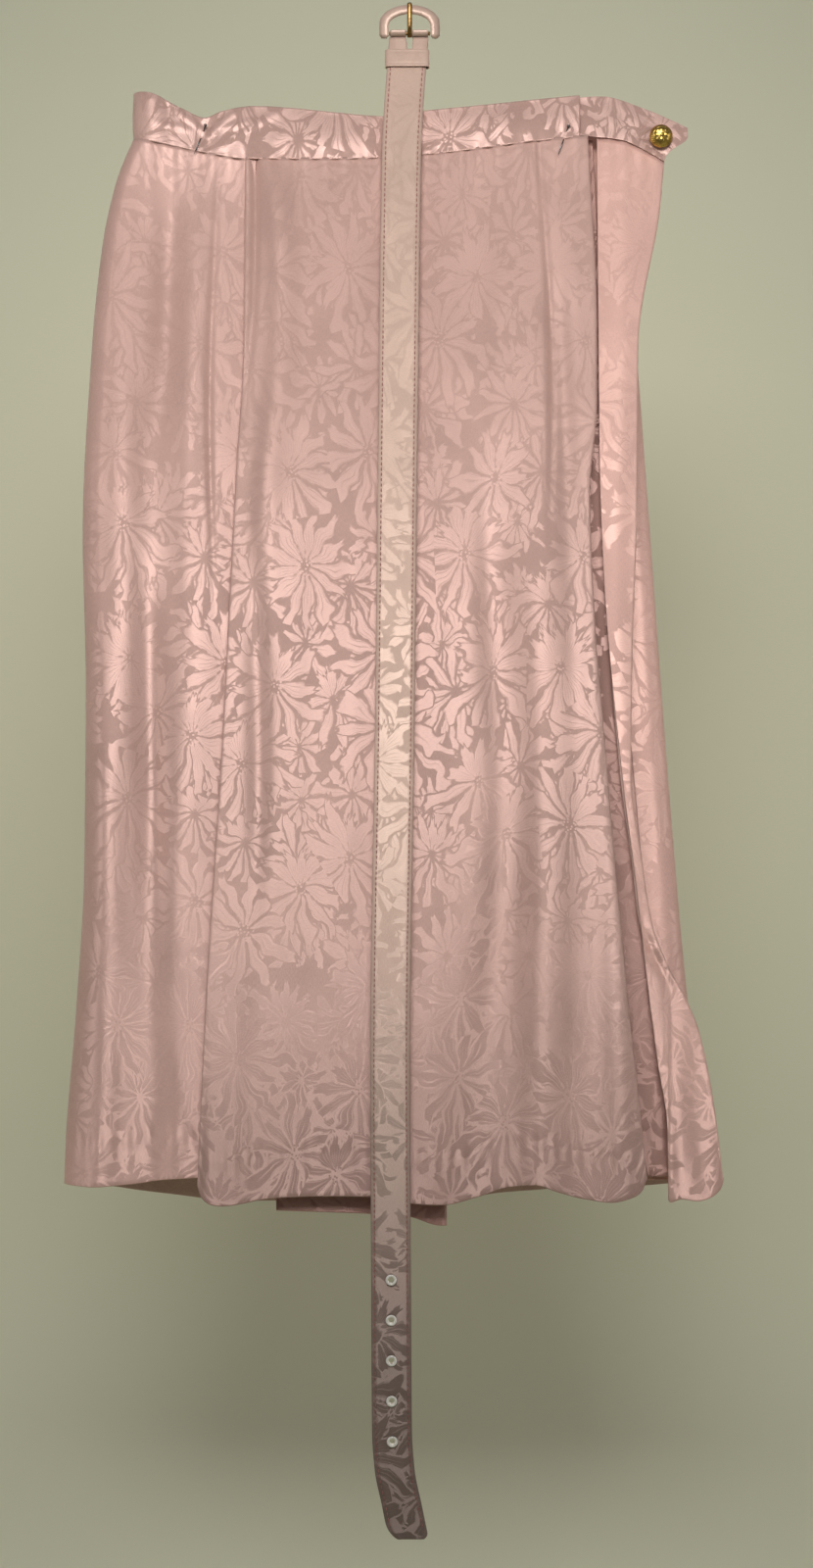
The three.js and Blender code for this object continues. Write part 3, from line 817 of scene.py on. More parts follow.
def blank_material(name: str) -> tuple[bpy.types.Material, Graph, bpy.types.Node]:
    """A material with only its Principled shader, which is linked to the output.

    Args:
        name: the material's name.

    Returns:
        The material, a Graph on it, and its shader.
    """
    material = bpy.data.materials.new(name)
    material.use_nodes = True
    shader = next(n for n in material.node_tree.nodes if n.type == "BSDF_PRINCIPLED")
    return material, Graph(material.node_tree), shader


@dataclass(frozen=True)
class Satin:
    """Satin jacquard: floating warp shows as the ground, weft as the flowers.

    The two sets of threads lie across each other, so each catches the light at its own lean:
    the shading normal of ground and flower is tipped by its own angle. Above the height
    plain_above on the weave map the flowers fade: painted light, standing in for the light that
    washes the pattern out at the top. Between the two heights of the falloff triple the colour is
    scaled downwards to its third number: painted shade as the light falls off down the cloth, and
    painted light where that number is above one.
    """

    name: str
    ground: Colour
    motif: Colour
    ground_tip: float = 29.0
    motif_tip: float = 14.0
    flowers: float = 1.0
    seed: float = 0.0
    plain_above: float = 9.0
    painted_falloff: Triple = (-9.0, -8.0, 1.0)
    sheen: float = 0.25
    gloss: float = 0.42

    def build(self, groups: Groups) -> bpy.types.Material:
        """Makes the material.

        Args:
            groups: the shared shader groups.

        Returns:
            The material, which reads the piece's own weave map.
        """
        material, g, shader = blank_material(self.name)
        at = g.node("ShaderNodeUVMap", uv_map=WEAVE_MAP).outputs[0]
        cloth = g.use(groups.satin, Vector=at, Seed=self.seed, Flowers=self.flowers,
                      Plain_above=self.plain_above)
        colour = g.mix(cloth["Motif"], self.ground, self.motif)
        speckle = g.math("MULTIPLY", g.math("SUBTRACT", cloth["Thread"], 0.5), 0.55)
        bright = g.math("ADD", g.ramp(cloth["Cloud"], 0.25, 0.75, 0.93, 1.04), speckle)
        height = g.node("ShaderNodeSeparateXYZ")
        g.feed(height.inputs[0], at)
        # Painted shade: the colour darkens down the weave map between the two falloff heights, as the light
        # falls off down the cloth.
        low, high, darkest = self.painted_falloff
        bright = g.math("MULTIPLY", bright, g.ramp(height.outputs[1], low, high, darkest, 1.0))
        g.feed(shader.inputs["Base Color"], g.shade(colour, bright))
        g.feed(shader.inputs["Roughness"], g.math("MULTIPLY_ADD", cloth["Cloud"], 0.12, self.gloss - 0.06))
        shader.inputs["Metallic"].default_value = self.sheen
        shader.inputs["Sheen Weight"].default_value = 0.15
        shader.inputs["Sheen Roughness"].default_value = 0.4
        lean = g.mix(cloth["Motif"], self.tip(self.ground_tip), self.tip(self.motif_tip))
        tilt = g.node("ShaderNodeNormalMap", uv_map=WEAVE_MAP)
        g.feed(tilt.inputs["Color"], lean)
        g.bump(shader, cloth["Relief"], 0.35, 0.00012, tilt.outputs[0])
        return material

    @staticmethod
    def tip(degrees: float) -> Colour:
        """The tangent-space colour of a normal leaned along the weave map's V."""
        angle = math.radians(degrees)
        return (0.5, 0.5 + 0.5 * math.sin(angle), 0.5 + 0.5 * math.cos(angle), 1.0)


@dataclass(frozen=True)
class Metal:
    """Plated metal with tarnish in its clouds and scratches along it."""

    name: str
    bright: Colour
    dark: Colour
    rough: float = 0.3
    metallic: float = 1.0

    def build(self, groups: Groups) -> bpy.types.Material:
        """Makes the material from the shared plating group.

        Args:
            groups: the shared shader groups.

        Returns:
            The material.
        """
        material, g, shader = blank_material(self.name)
        at = g.node("ShaderNodeTexCoord").outputs["Object"]
        plate = g.use(groups.metal, Vector=at, Bright=self.bright, Dark=self.dark, Rough=self.rough)
        g.feed(shader.inputs["Base Color"], plate["Color"])
        g.feed(shader.inputs["Roughness"], plate["Roughness"])
        shader.inputs["Metallic"].default_value = self.metallic
        g.bump(shader, plate["Height"], 0.2, 0.00005)
        return material


@dataclass(frozen=True)
class Plain:
    """Interlining, resin or thread: a grained, slightly clouded plain material."""

    name: str
    light: Colour
    deep: Colour
    grain: float = 900.0
    relief: float = 0.0001

    def build(self, groups: Groups) -> bpy.types.Material:
        """Makes the material from the shared fibre group.

        Args:
            groups: the shared shader groups.

        Returns:
            The material.
        """
        material, g, shader = blank_material(self.name)
        at = g.node("ShaderNodeTexCoord").outputs["Object"]
        plain = g.use(groups.fibre, Vector=at, Light=self.light, Deep=self.deep, Grain=self.grain)
        g.feed(shader.inputs["Base Color"], plain["Color"])
        g.feed(shader.inputs["Roughness"], plain["Roughness"])
        g.bump(shader, plain["Height"], 0.4, self.relief)
        return material


@dataclass
class Wardrobe:
    """Every finish of the object, made once and shared by its pieces."""

    groups: Groups = field(default_factory=Groups)

    def __post_init__(self) -> None:
        """Builds the materials."""
        pink, shaded_pink = srgb(200, 164, 152), srgb(182, 140, 129)
        made = (
            Satin("satin_jacquard", ground=srgb(205, 166, 154), motif=srgb(209, 171, 160),
                  painted_falloff=(-0.72, -0.42, 0.76)),
            Satin("satin_front", ground=srgb(205, 166, 154), motif=srgb(205, 166, 155), plain_above=-0.3,
                  seed=3.7, painted_falloff=(-0.72, -0.5, 0.7)),
            # Painted light: the flowers fade at the top and the colour brightens a little towards the
            # bottom.
            Satin("satin_painted_plain_top", ground=srgb(210, 170, 158), motif=srgb(212, 172, 161), plain_above=-0.3,
                  seed=3.7, painted_falloff=(-0.75, -0.5, 1.06)),
            # Painted shade and painted light: satin_shaded is a darker copy for the recess and the layers
            # behind, satin_lit a lighter copy for the right side.
            Satin("satin_shaded", ground=shaded_pink, motif=srgb(186, 144, 133), seed=2.6),
            Satin("satin_lit", ground=srgb(240, 193, 180), motif=srgb(234, 189, 176), seed=1.2,
                  plain_above=-0.26, painted_falloff=(-0.75, -0.4, 0.82)),
            Satin("satin_plain", ground=pink, motif=pink, flowers=0.0, ground_tip=14.0),
            # Painted shade: the belt darkens strongly towards its lower end, which leans out of the light.
            Satin("belt_satin", ground=srgb(216, 184, 167), motif=srgb(210, 180, 164), seed=7.1,
                  plain_above=-0.42, painted_falloff=(-0.9, -0.5, 0.3)),
            Plain("interlining", srgb(238, 232, 222), srgb(214, 206, 194), 1400.0),
            Plain("sewing_thread", srgb(176, 116, 108), srgb(140, 88, 82), 3200.0),
            Plain("button_resin", srgb(240, 233, 224), srgb(222, 212, 198), 260.0, 0.00003),
            Metal("button_gold", srgb(206, 172, 92), srgb(74, 64, 36), 0.26),
            Metal("buckle_brass", srgb(150, 118, 72), srgb(74, 56, 36), 0.3),
            Metal("eyelet_silver", srgb(250, 246, 240), srgb(228, 222, 214), 0.34, 0.15),
            Metal("pin_steel", srgb(120, 118, 118), srgb(52, 50, 50), 0.26),
        )
        self.materials = {finish.name: finish.build(self.groups) for finish in made}

    def dress(self, piece: Piece, look: str) -> Piece:
        """Gives a piece its material.

        Args:
            piece: the piece.
            look: the material's name.

        Returns:
            The same piece.
        """
        piece.data.materials.clear()
        piece.data.materials.append(self.materials[look])
        return piece


# ---- outlines shared by the pieces
BAND_TOP = line((-178, 19.5), (-161, 14.5), (-145, 6), (-130, 0.2), (-119, 4.4), (-98, 7.6), (-75, 6.4),
                (-48, 3.8), (-14, 1), (15, 5), (48, 8.2), (82, 11.8), (112, 14.5))
BAND_SEAM = line((-178, -12), (-161, -16), (-128, -23), (-104, -26.7), (-61, -26.9), (-14, -26), (12, -24),
                 (55, -19), (85, -15), (117, -12.3))
BAND_TOP_BACK = line((-178, 19.5), (-150, 10), (-100, 5), (150, 6))
BAND_SEAM_BACK = line((-178, -12), (-150, -19), (-100, -24), (150, -22))
FRONT_HEM = line((-133, -696), (-118, -698.6), (-87, -694), (-57, -693), (-23, -693), (3, -697),
                 (24, -698), (44, -694), (66, -687.5), (83, -686), (97, -690), (113, -694), (130, -696),
                 (144, -693), (153, -689))
LEFT_HEM = line((-223, -689), (-180, -687), (-147, -683), (-120, -682))
BACK_HEM = line((-223, -690), (-150, -700), (-102, -706), (-57, -704), (30, -703), (60, -699), (110, -697),
                (200, -690))
END_HEM = line((169, -700), (178, -697), (187, -698), (204, -693))
FRONT_LEFT = line((0, -103), (0.18, -104), (0.31, -109), (0.43, -113), (0.6, -118.6), (0.7, -123),
                  (0.83, -128), (1, -133))
FRONT_RIGHT = line((0, 116), (0.18, 121.6), (0.25, 121.6), (0.34, 117), (0.46, 120), (0.57, 126),
                   (0.68, 132), (0.81, 140), (0.95, 150), (1, 153))
SKIRT_LEFT = line((0, -178), (0.04, -189), (0.1, -198), (0.2, -205), (0.38, -211), (0.52, -209),
                  (0.7, -210), (0.83, -215), (0.96, -222), (1, -223))
SKIRT_RIGHT = line((0, 140), (0.18, 150), (0.38, 160), (0.6, 171), (0.82, 184), (1, 200))
END_LEFT = line((0, 123.4), (0.3, 125), (0.42, 128), (0.62, 141), (0.69, 147.4), (0.8, 156), (0.87, 162),
                (0.93, 168), (1, 169))
END_RIGHT = line((0, 166), (0.05, 163), (0.19, 149), (0.35, 148), (0.48, 145), (0.6, 144), (0.68, 151),
                 (0.74, 158), (0.84, 188), (0.92, 198), (1, 204))
TAB_TOP = line((108, 13), (112, 14.5), (127, 15), (149, 8.8), (167, 1.6), (182, -5.5))
TAB_SEAM = line((108, -9), (119, -10.7), (139, -13), (155, -20), (167, -27))
SIDE_SEAM_Y = 1.5
HEM_TURN = 27.0
CLOTH = 0.55


def flat(value: float) -> Line:
    """A Line that has one value everywhere."""
    return line((0, value), (1, value))


@dataclass(frozen=True)
class Roll:
    """How a panel's side edge curves round to the seam that joins it to the panel behind.

    The edge is a quarter ellipse. It reaches wide in from the edge and ends at depth meet.
    """

    side: Side
    wide: Line
    meet: Line
    columns: int = 16


@dataclass
class Panel:
    """A hanging panel of the skirt: cloth between two side edges, from its seam to its hem.

    A point is set by u, its share of the way across, and s, its share of the way down. x comes
    from the side edges, z from the seam and hem, and depth gives y, to which the folds, the
    gathers under the seam, the hem's puckers and an uneven drape are added.
    """

    name: str
    node: str
    body: str
    left: Line
    right: Line
    seam: Line
    hem: Line
    depth: Callable[[Array, Array, Array], Array]
    columns: int = 90
    rows: int = 200
    folds: tuple[Fold, ...] = ()
    rolls: tuple[Roll, ...] = ()
    turned: tuple[tuple[Side, float], ...] = ()
    corners: Pair = (0.0, 0.0)
    gathers: float = 0.45
    drape: float = 0.5
    puckers: float = 0.35
    hem_turn: float = HEM_TURN
    tuck: float = 0.0
    backwards: bool = False
    look: str = "satin_painted_plain_top"
    seed: int = 1
    pattern: Pair = (0.0, 0.0)

    def shares(self) -> tuple[Array, Array]:
        """The grid of u and s, both evenly spaced.

        Returns:
            u and s, each an array of rows by columns.
        """
        u = np.linspace(0, 1, self.columns)
        s = np.linspace(0, 1, self.rows)
        return np.meshgrid(u, s)

    def hem_at(self, x: Array) -> Array:
        """The hem's height, with its corners rounded by quarter circles.

        Args:
            x: places across.

        Returns:
            The height at each place.
        """
        z = self.hem(x)
        low, high = float(self.left(np.array(1.0))), float(self.right(np.array(1.0)))
        for radius, inward in zip(self.corners, (x - low, high - x)):
            if radius:
                near = np.clip(radius - inward, 0, radius)
                z = z + radius - np.sqrt(np.maximum(radius**2 - near**2, 0))
        return z

    def surface(self) -> Array:
        """The middle surface of the cloth, rows down and columns towards +X.

        Returns:
            The grid of points.
        """
        u, s = self.shares()
        x_left, x_right = self.left(s), self.right(s)
        x = lerp(x_left, x_right, u)
        z = lerp(self.seam(x) + (1.2 if self.tuck else -0.5), self.hem_at(x), s)
        down = -z
        front = 1.0 if self.backwards else -1.0
        y = self.depth(x, s, u) + front * self.tuck * np.exp(-s * PANEL_DROP / TUCK_REACH)
        for fold in self.folds:
            y = y + front * fold.push(x, down)
        gather = np.sin(2 * np.pi * x / GATHER_PITCH + 1.4 * np.sin(x / 23))
        gather = gather * np.exp(-s * PANEL_DROP / GATHER_REACH)
        y = y + front * self.gathers * gather
        y = y + 1.6 * self.drape * ripple(x, down, self.seed, 110, 2.6) * smooth(s, 0, 0.12)
        y = y + 0.4 * self.drape * ripple(x, down, self.seed + 50, 36, 1.6)
        above = z - self.hem_at(x)
        crease = np.exp(-(((above - self.hem_turn) / CREASE_WIDTH) ** 2))
        pucker = np.sin(2 * np.pi * x / PUCKER_PITCH + 2.0 * np.sin(x / 17))
        pucker = pucker * np.exp(-(((above - self.hem_turn) / PUCKER_REACH) ** 2))
        y = y - front * 0.5 * self.puckers * crease + front * self.puckers * pucker
        for roll in self.rolls:
            x, y = self.rolled(roll, x, y, s, x_left, x_right)
        return np.stack([x, y, z], axis=-1)

    def rolled(self, roll: Roll, x: Array, y: Array, s: Array, x_left: Array,
               x_right: Array) -> tuple[Array, Array]:
        """Curves one side edge round: its columns are spaced along the quarter ellipse.

        Args:
            roll: the edge's curve.
            x: the grid's x.
            y: the grid's y.
            s: the grid's share of the way down.
            x_left: the left edge's x, for each point.
            x_right: the right edge's x, for each point.

        Returns:
            The new x and y.
        """
        order = np.arange(self.columns) if roll.side is Side.LEFT else np.arange(self.columns)[::-1]
        sign = 1.0 if roll.side is Side.LEFT else -1.0
        edge = x_left if roll.side is Side.LEFT else x_right
        wide = roll.wide(s)
        inner = edge + sign * wide
        far = x_right if roll.side is Side.LEFT else x_left
        n = roll.columns
        new_x, new_y = x.copy(), y.copy()
        rest = np.linspace(0, 1, self.columns - n)
        for k, column in enumerate(order):
            if k < n:
                angle = 0.5 * math.pi * k / n
                new_x[:, column] = (edge + sign * wide * (1 - math.cos(angle)))[:, column]
            else:
                new_x[:, column] = lerp(inner, far, rest[k - n])[:, column]
        for row in range(self.rows):
            new_y[row] = np.interp(new_x[row], x[row], y[row])
        meet = roll.meet(s)
        for k, column in enumerate(order[:n]):
            angle = 0.5 * math.pi * k / n
            new_y[:, column] = meet[:, column] + (new_y[:, column] - meet[:, column]) * math.sin(angle)
        return new_x, new_y

    def build(self, wardrobe: Wardrobe) -> Piece:
        """Args:
            wardrobe: the finishes.

        Returns:
            The finished piece.
        """
        grid = self.surface()
        inside = -1.0 if self.backwards else 1.0
        if self.hem_turn:
            grid = turn_in(grid, Side.HEM, 0.55, self.hem_turn, inside)
        for side, reach in self.turned:
            grid = turn_in(grid, side, 1.05, reach, inside)
        if self.backwards:
            grid = grid[:, ::-1]
        piece = cloth_object(self.name, grid, self.pattern, CLOTH)
        wardrobe.dress(piece, self.look)
        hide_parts(self.node)
        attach(piece, self.body)
        return piece


def turn_in(grid: Array, side: Side, radius: float, reach: float, inside: float) -> Array:
    """Folds an edge of a cloth grid to its inside: a half circle, then back along the cloth itself.

    Args:
        grid: points, rows down and columns towards +X.
        side: which edge is folded.
        radius: half the distance between the cloth and its return.
        reach: how far the return runs back.
        inside: +1 where the inside faces +Y, or -1.

    Returns:
        The grid with the new rows or columns added.
    """
    work = grid if side is Side.HEM else grid.transpose(1, 0, 2)
    if side is Side.LEFT:
        work = work[::-1]
    pitch = float(np.linalg.norm(work[-1] - work[-2], axis=-1).mean())
    steps = max(2, round(reach / pitch))
    picks = np.unique(np.linspace(1, min(steps, len(work) - 1), 5).round().astype(int))
    away = work[-1] - work[-2]
    away = away / np.maximum(np.linalg.norm(away, axis=-1, keepdims=True), 1e-9)
    back = np.array([0.0, inside, 0.0])
    angles = np.linspace(0, math.pi, 6)[1:]
    added = [work[-1] + away * radius * math.sin(a) + back * radius * (1 - math.cos(a)) for a in angles]
    added += [work[-1 - k] + back * 2 * radius for k in picks]
    work = np.concatenate([work, np.stack(added)], axis=0)
    if side is Side.LEFT:
        work = work[::-1]
    return work if side is Side.HEM else work.transpose(1, 0, 2)


# ---- the skirt
def front_depth(x: Array, s: Array, u: Array) -> Array:
    """The front panel stands forward to the hem, in two wide waves that open below the hip."""
    return -13 - 16 * s - 3 * s * s * np.cos(2 * np.pi * (x - 8) / 124)


def left_depth(x: Array, s: Array, u: Array) -> Array:
    """The left side panel lies just behind the front one, with waves of its own."""
    return -10 - 8 * s + 2 * s * np.cos(2 * np.pi * (x + 160) / 60)


def back_depth(x: Array, s: Array, u: Array) -> Array:
    """The back hangs behind the hang line in even waves."""
    return 13 + 10 * s + 2 * s * np.cos(2 * np.pi * x / 110)


def skirt_panels() -> list[Panel]:
    """Every panel of the skirt, from the front one backwards.

    Returns:
        The panels, not yet built.
    """
    side_roll = Roll(Side.LEFT, line((0, 9), (1, 19)), flat(SIDE_SEAM_Y))
    front = Panel(
        "front_panel_cloth", "front_panel", "skirt", FRONT_LEFT, FRONT_RIGHT, BAND_SEAM, FRONT_HEM,
        front_depth, columns=136, rows=280, tuck=1.3, corners=(9.0, 7.0),
        turned=((Side.LEFT, 24.0), (Side.RIGHT, 20.0)), seed=11, look="satin_front",
        folds=(
            Fold(line((20, -88), (146, -83), (254, -91), (330, -95)), flat(7),
                 line((24, 0), (60, 2.6), (250, 1.8), (350, 0)), 1.6),
            Fold(line((26, -100), (112, -100), (200, -104)), flat(2.2),
                 line((26, -1.6), (112, -1.2), (230, 0))),
            Fold(line((22, 87), (146, 91), (246, 93), (300, 94)), flat(2.0),
                 line((22, -1.5), (200, -1.1), (280, 0))),
            Fold(line((100, 98), (246, 101), (318, 106), (372, 109)), flat(8),
                 line((60, 0), (150, -2.4), (300, -1.6), (400, 0))),
            Fold(line((240, 56), (420, 60), (690, 52)), line((200, 8), (690, 17)),
                 line((200, 0), (380, -3.6), (560, -2.6), (690, -1.0)), 1.4),
            Fold(line((240, 82), (690, 92)), line((200, 9), (690, 18)),
                 line((200, 0), (420, 2.2), (690, 2.6)), 1.3),
            Fold(line((240, -94), (460, -98)), flat(7), line((220, 0), (330, -2.8), (420, -2.4), (560, 0))),
            Fold(line((200, -52), (690, -60)), line((200, 14), (690, 30)),
                 line((180, 0), (420, 1.4), (690, 2.2))),
            Fold(line((300, 118), (690, 140)), line((200, 6), (690, 10)),
                 line((300, 0), (500, 1.6), (690, 2.2))),
        ),
    )
    left = Panel(
        "left_side_cloth", "left_side_panel", "skirt", SKIRT_LEFT, line((0, -97), (0.43, -104), (1, -120)),
        BAND_SEAM, LEFT_HEM, left_depth, columns=110, rows=260, tuck=4.0, rolls=(side_roll,), seed=23,
        pattern=(31.0, 12.0),
        folds=(
            Fold(line((50, -156), (146, -155), (236, -164), (300, -168)), flat(10),
                 line((20, 0), (90, -2.8), (200, -2.2), (300, 0))),
            Fold(line((40, -124), (304, -126)), flat(2.4),
                 line((20, 0), (90, -1.3), (240, -1.1), (330, 0))),
            Fold(line((60, -138), (300, -140)), flat(8), line((10, 0), (140, 1.2), (250, 1.0), (400, 0))),
            Fold(line((60, -180), (400, -188)), flat(12), line((10, 0), (180, 1.2), (420, 0.9), (620, 0))),
            Fold(line((280, -164), (560, -168)), flat(9),
                 line((270, 0), (340, -3.2), (460, -2.6), (620, 0))),
            Fold(line((300, -142), (690, -150)), flat(12), line((300, 0), (500, 2.0), (690, 2.6))),
            Fold(line((300, -190), (690, -198)), flat(10), line((300, 0), (500, 1.8), (690, 2.4))),
        ),
    )
    underlay = Panel(
        "pleat_underlay_cloth", "pleat_underlay", "skirt", line((0, 98), (1, 112)),
        line((0, 121), (0.3, 132), (0.65, 150), (1, 176)), flat(-11), flat(-684),
        lambda x, s, u: -4 - 2.5 * s, columns=50, rows=160, gathers=0.0, seed=31, look="satin_shaded",
        pattern=(140.0, 5.0), puckers=0.3,
    )
    right_side = Panel(
        "right_side_cloth", "right_side_panel", "skirt", line((0, 104), (1, 140)), SKIRT_RIGHT, flat(-14),
        flat(-688), lambda x, s, u: 1.2 + 2 * s, columns=64, rows=180, gathers=0.0, drape=0.35, seed=37,
        look="satin_lit", pattern=(190.0, 40.0),
        rolls=(Roll(Side.RIGHT, line((0, 7), (1, 15)), line((0, 7.6), (1, 12))),),
    )
    back_left = Panel(
        "back_left_cloth", "back_panel_left", "skirt", SKIRT_LEFT, flat(-0.3), BAND_SEAM_BACK, BACK_HEM,
        back_depth, columns=120, rows=240, rolls=(side_roll,), tuck=1.0, backwards=True, seed=41,
        look="satin_jacquard", pattern=(60.0, 90.0),
        folds=(
            Fold(line((0, -92), (700, -108)), line((0, 9), (700, 26)),
                 line((30, 0), (200, 1.6), (690, 3.0))),
            Fold(line((0, -46), (700, -54)), line((0, 10), (700, 22)),
                 line((30, 0), (250, -1.2), (690, -2.4))),
            Fold(line((0, -60), (170, -57)), flat(2.2), line((20, -1.3), (120, -1.0), (150, 0))),
        ),
    )
    back_right = Panel(
        "back_right_cloth", "back_panel_right", "skirt", flat(0.3), SKIRT_RIGHT, BAND_SEAM_BACK, BACK_HEM,
        back_depth, columns=110, rows=240, tuck=1.0, backwards=True, seed=43, look="satin_jacquard",
        pattern=(240.0, 33.0), rolls=(Roll(Side.RIGHT, line((0, 8), (1, 17)), line((0, 7.6), (1, 12))),),
        folds=(
            Fold(line((0, 88), (700, 104)), line((0, 9), (700, 24)), line((30, 0), (200, 1.6), (690, 3.0))),
            Fold(line((0, 44), (700, 52)), line((0, 10), (700, 22)),
                 line((30, 0), (250, -1.2), (690, -2.4))),
            Fold(line((0, 60), (170, 57)), flat(2.2), line((20, -1.3), (120, -1.0), (150, 0))),
        ),
    )
    under = Panel(
        "under_wrap_cloth", "under_wrap_panel", "skirt", line((0, -90), (1, -84)), line((0, 24), (1, 26)),
        BAND_SEAM, line((-90, -704), (0, -708), (22, -714), (26, -714)), lambda x, s, u: -9.8 - 6 * s,
        columns=60, rows=150, gathers=0.2, drape=0.25, seed=47, look="satin_shaded", pattern=(300.0, 70.0),
        puckers=0.2,
    )
    facing = Panel(
        "under_wrap_facing_cloth", "under_wrap_edge_facing", "skirt", line((0, -4), (1, -2)),
        line((0, 23), (1, 25)), line((-90, -28), (30, -23)), flat(-703), lambda x, s, u: -8.3 - 6 * s,
        columns=14, rows=120, gathers=0.0, drape=0.0, hem_turn=0.0, seed=53, look="satin_plain",
        puckers=0.0,
    )
    end = Panel(
        "end_panel_cloth", "end_panel", "wrap_end", END_LEFT, END_RIGHT, TAB_SEAM, END_HEM,
        lambda x, s, u: -9 - 7 * s, columns=60, rows=260, gathers=0.3, drape=0.3, puckers=0.12, seed=59,
        look="satin_lit", pattern=(112.0, 0.0), corners=(3.0, 8.0), hem_turn=22.0,
        turned=((Side.RIGHT, 11.0),),
        folds=(
            Fold(line((30, 138), (300, 137), (520, 147)), flat(8),
                 line((20, 0), (160, 0.8), (400, 1.0), (540, 0))),
            Fold(line((510, 146), (534, 156)), flat(3), line((500, 0), (520, 2.2), (545, 0))),
            Fold(line((525, 150), (560, 168)), flat(3.5), line((515, 0), (540, -2.4), (575, 0))),
            Fold(line((560, 160), (652, 172), (700, 188)), flat(9), line((550, 0), (600, 1.6), (700, 1.4))),
        ),
    )
    end_facing = Panel(
        "end_facing_cloth", "end_panel_edge_facing", "wrap_end",
        line((0, 150), (0.05, 147), (0.19, 133), (0.35, 132), (0.48, 132), (0.6, 138), (0.69, 146),
             (0.74, 150), (0.84, 172), (0.92, 182), (1, 188)),
        line((0, 165), (0.05, 162), (0.19, 148), (0.35, 147), (0.48, 144), (0.6, 143), (0.68, 150),
             (0.74, 157), (0.84, 187), (0.92, 197), (1, 203)),
        line((108, -12), (139, -15), (167, -28)), flat(-692), lambda x, s, u: -6.4 - 7 * s, columns=12,
        rows=160, gathers=0.0, drape=0.0, hem_turn=0.0, seed=61, look="satin_plain", puckers=0.0,
    )
    return [front, left, underlay, right_side, back_left, back_right, under, facing, end, end_facing]


@dataclass
class WaistBand:
    """The waistband: satin over its interfacing, folded at the top, round the left side."""

    half_depth: float = 15.0
    left: float = -178.0
    front_end: float = 112.0
    back_end: float = 150.0
    thickness: float = 3.2
    rows: int = 26
    dip_at: float = -129.0

    def path(self) -> tuple[Array, Array]:
        """The band's middle line seen from above, from the front end round to the back one.

        Returns:
            Its points, and the outward direction at each.
        """
        r = self.half_depth - self.thickness / 2 - 0.05
        bend = self.left + self.half_depth
        front = np.stack([np.linspace(self.front_end, bend, 260), np.full(260, -r)], axis=1)
        angle = np.linspace(1.5 * math.pi, 0.5 * math.pi, 34)[1:-1]
        arc = np.stack([bend + r * np.cos(angle), r * np.sin(angle)], axis=1)
        back = np.stack([np.linspace(bend, self.back_end, 150), np.full(150, r)], axis=1)
        points = np.concatenate([front, arc, back])
        way = np.gradient(points, axis=0)
        way /= np.linalg.norm(way, axis=1, keepdims=True)
        return points, np.stack([way[:, 1], -way[:, 0]], axis=1) * -1.0

    def surface(self) -> Array:
        """The band's middle surface, rows from its top edge down.

        The front has soft creases that run to the pinned dip, a lifted fold at the left end and
        gathers along the lower seam.

        Returns:
            The grid of points.
        """
        points, out = self.path()
        x, y = points[:, 0], points[:, 1]
        front = smooth(-y, -13, 13)
        top = lerp(BAND_TOP_BACK(x), BAND_TOP(x), front)
        seam = lerp(BAND_SEAM_BACK(x), BAND_SEAM(x), front)
        t = np.linspace(0, 1, self.rows)[:, None]
        z = lerp(top[None, :], seam[None, :], t)
        xs = np.broadcast_to(x, z.shape)
        swell = 0.7 * np.sin(np.pi * t) * np.ones_like(z)
        crumple = 0.5 * ripple(xs, z, 71, 46) + 0.22 * ripple(xs, z, 73, 17)
        dip = np.exp(-(((xs - self.dip_at) / 7) ** 2)) * np.sin(np.pi * np.clip(t * 1.1, 0, 1))
        rays = np.zeros_like(z)
        for slope, offset, size in ((0.9, 8, 1.1), (-0.75, -6, 0.9), (0.25, 16, 0.8), (-0.2, -20, 0.7),
                                    (0.55, 30, 0.6)):
            ray = (z + 6) - slope * (xs - self.dip_at - offset)
            rays += size * np.exp(-((ray / 2.4) ** 2)) * np.exp(-(((xs - self.dip_at - offset) / 15) ** 2))
        gather = 0.4 * np.sin(2 * np.pi * xs / 12.5 + 1.2 * np.sin(xs / 19))
        gather = gather * np.exp(-((z - seam[None, :]) / 6) ** 2)
        wing = 1.6 * np.exp(-(((xs + 166) / 6) ** 2)) - 1.4 * np.exp(-(((xs + 154) / 4) ** 2))
        push = swell + crumple + gather + front[None, :] * (rays - 2.2 * dip + wing * (1 - t))
        push = push * np.minimum(1, 8 * t + 0.15)
        grid = np.stack([xs + out[:, 0] * push, np.broadcast_to(y, z.shape) + out[:, 1] * push, z], axis=-1)
        return grid

    def build(self, wardrobe: Wardrobe) -> list[Piece]:
        """Makes the band's cloth, and the slim band of the under wrap behind it.

        Args:
            wardrobe: the finishes.

        Returns:
            The two bands.
        """
        grid = self.surface()[:, ::-1]
        band = cloth_object("waistband_cloth", grid[:, ::-1], (17.0, 400.0), self.thickness)
        bevel(band, 1.1, 3)
        wardrobe.dress(band, "satin_jacquard")
        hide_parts("waistband_outer", "waistband_interfacing", "waistband_facing")
        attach(band, "skirt")
        x = np.linspace(-90, 24, 90)[None, :]
        t = np.linspace(0, 1, 14)[:, None]
        z = lerp(BAND_TOP(x) - 3, BAND_SEAM(x), t)
        y = -9.8 + 0.25 * ripple(np.broadcast_to(x, z.shape), z, 77, 40)
        under = np.stack([np.broadcast_to(x, z.shape), y, z], axis=-1)
        slim = cloth_object("under_wrap_band_cloth", under, (320.0, 400.0), 1.8)
        bevel(slim, 0.6, 3)
        wardrobe.dress(slim, "satin_shaded")
        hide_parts("under_wrap_band")
        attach(slim, "skirt")
        return [band, slim]


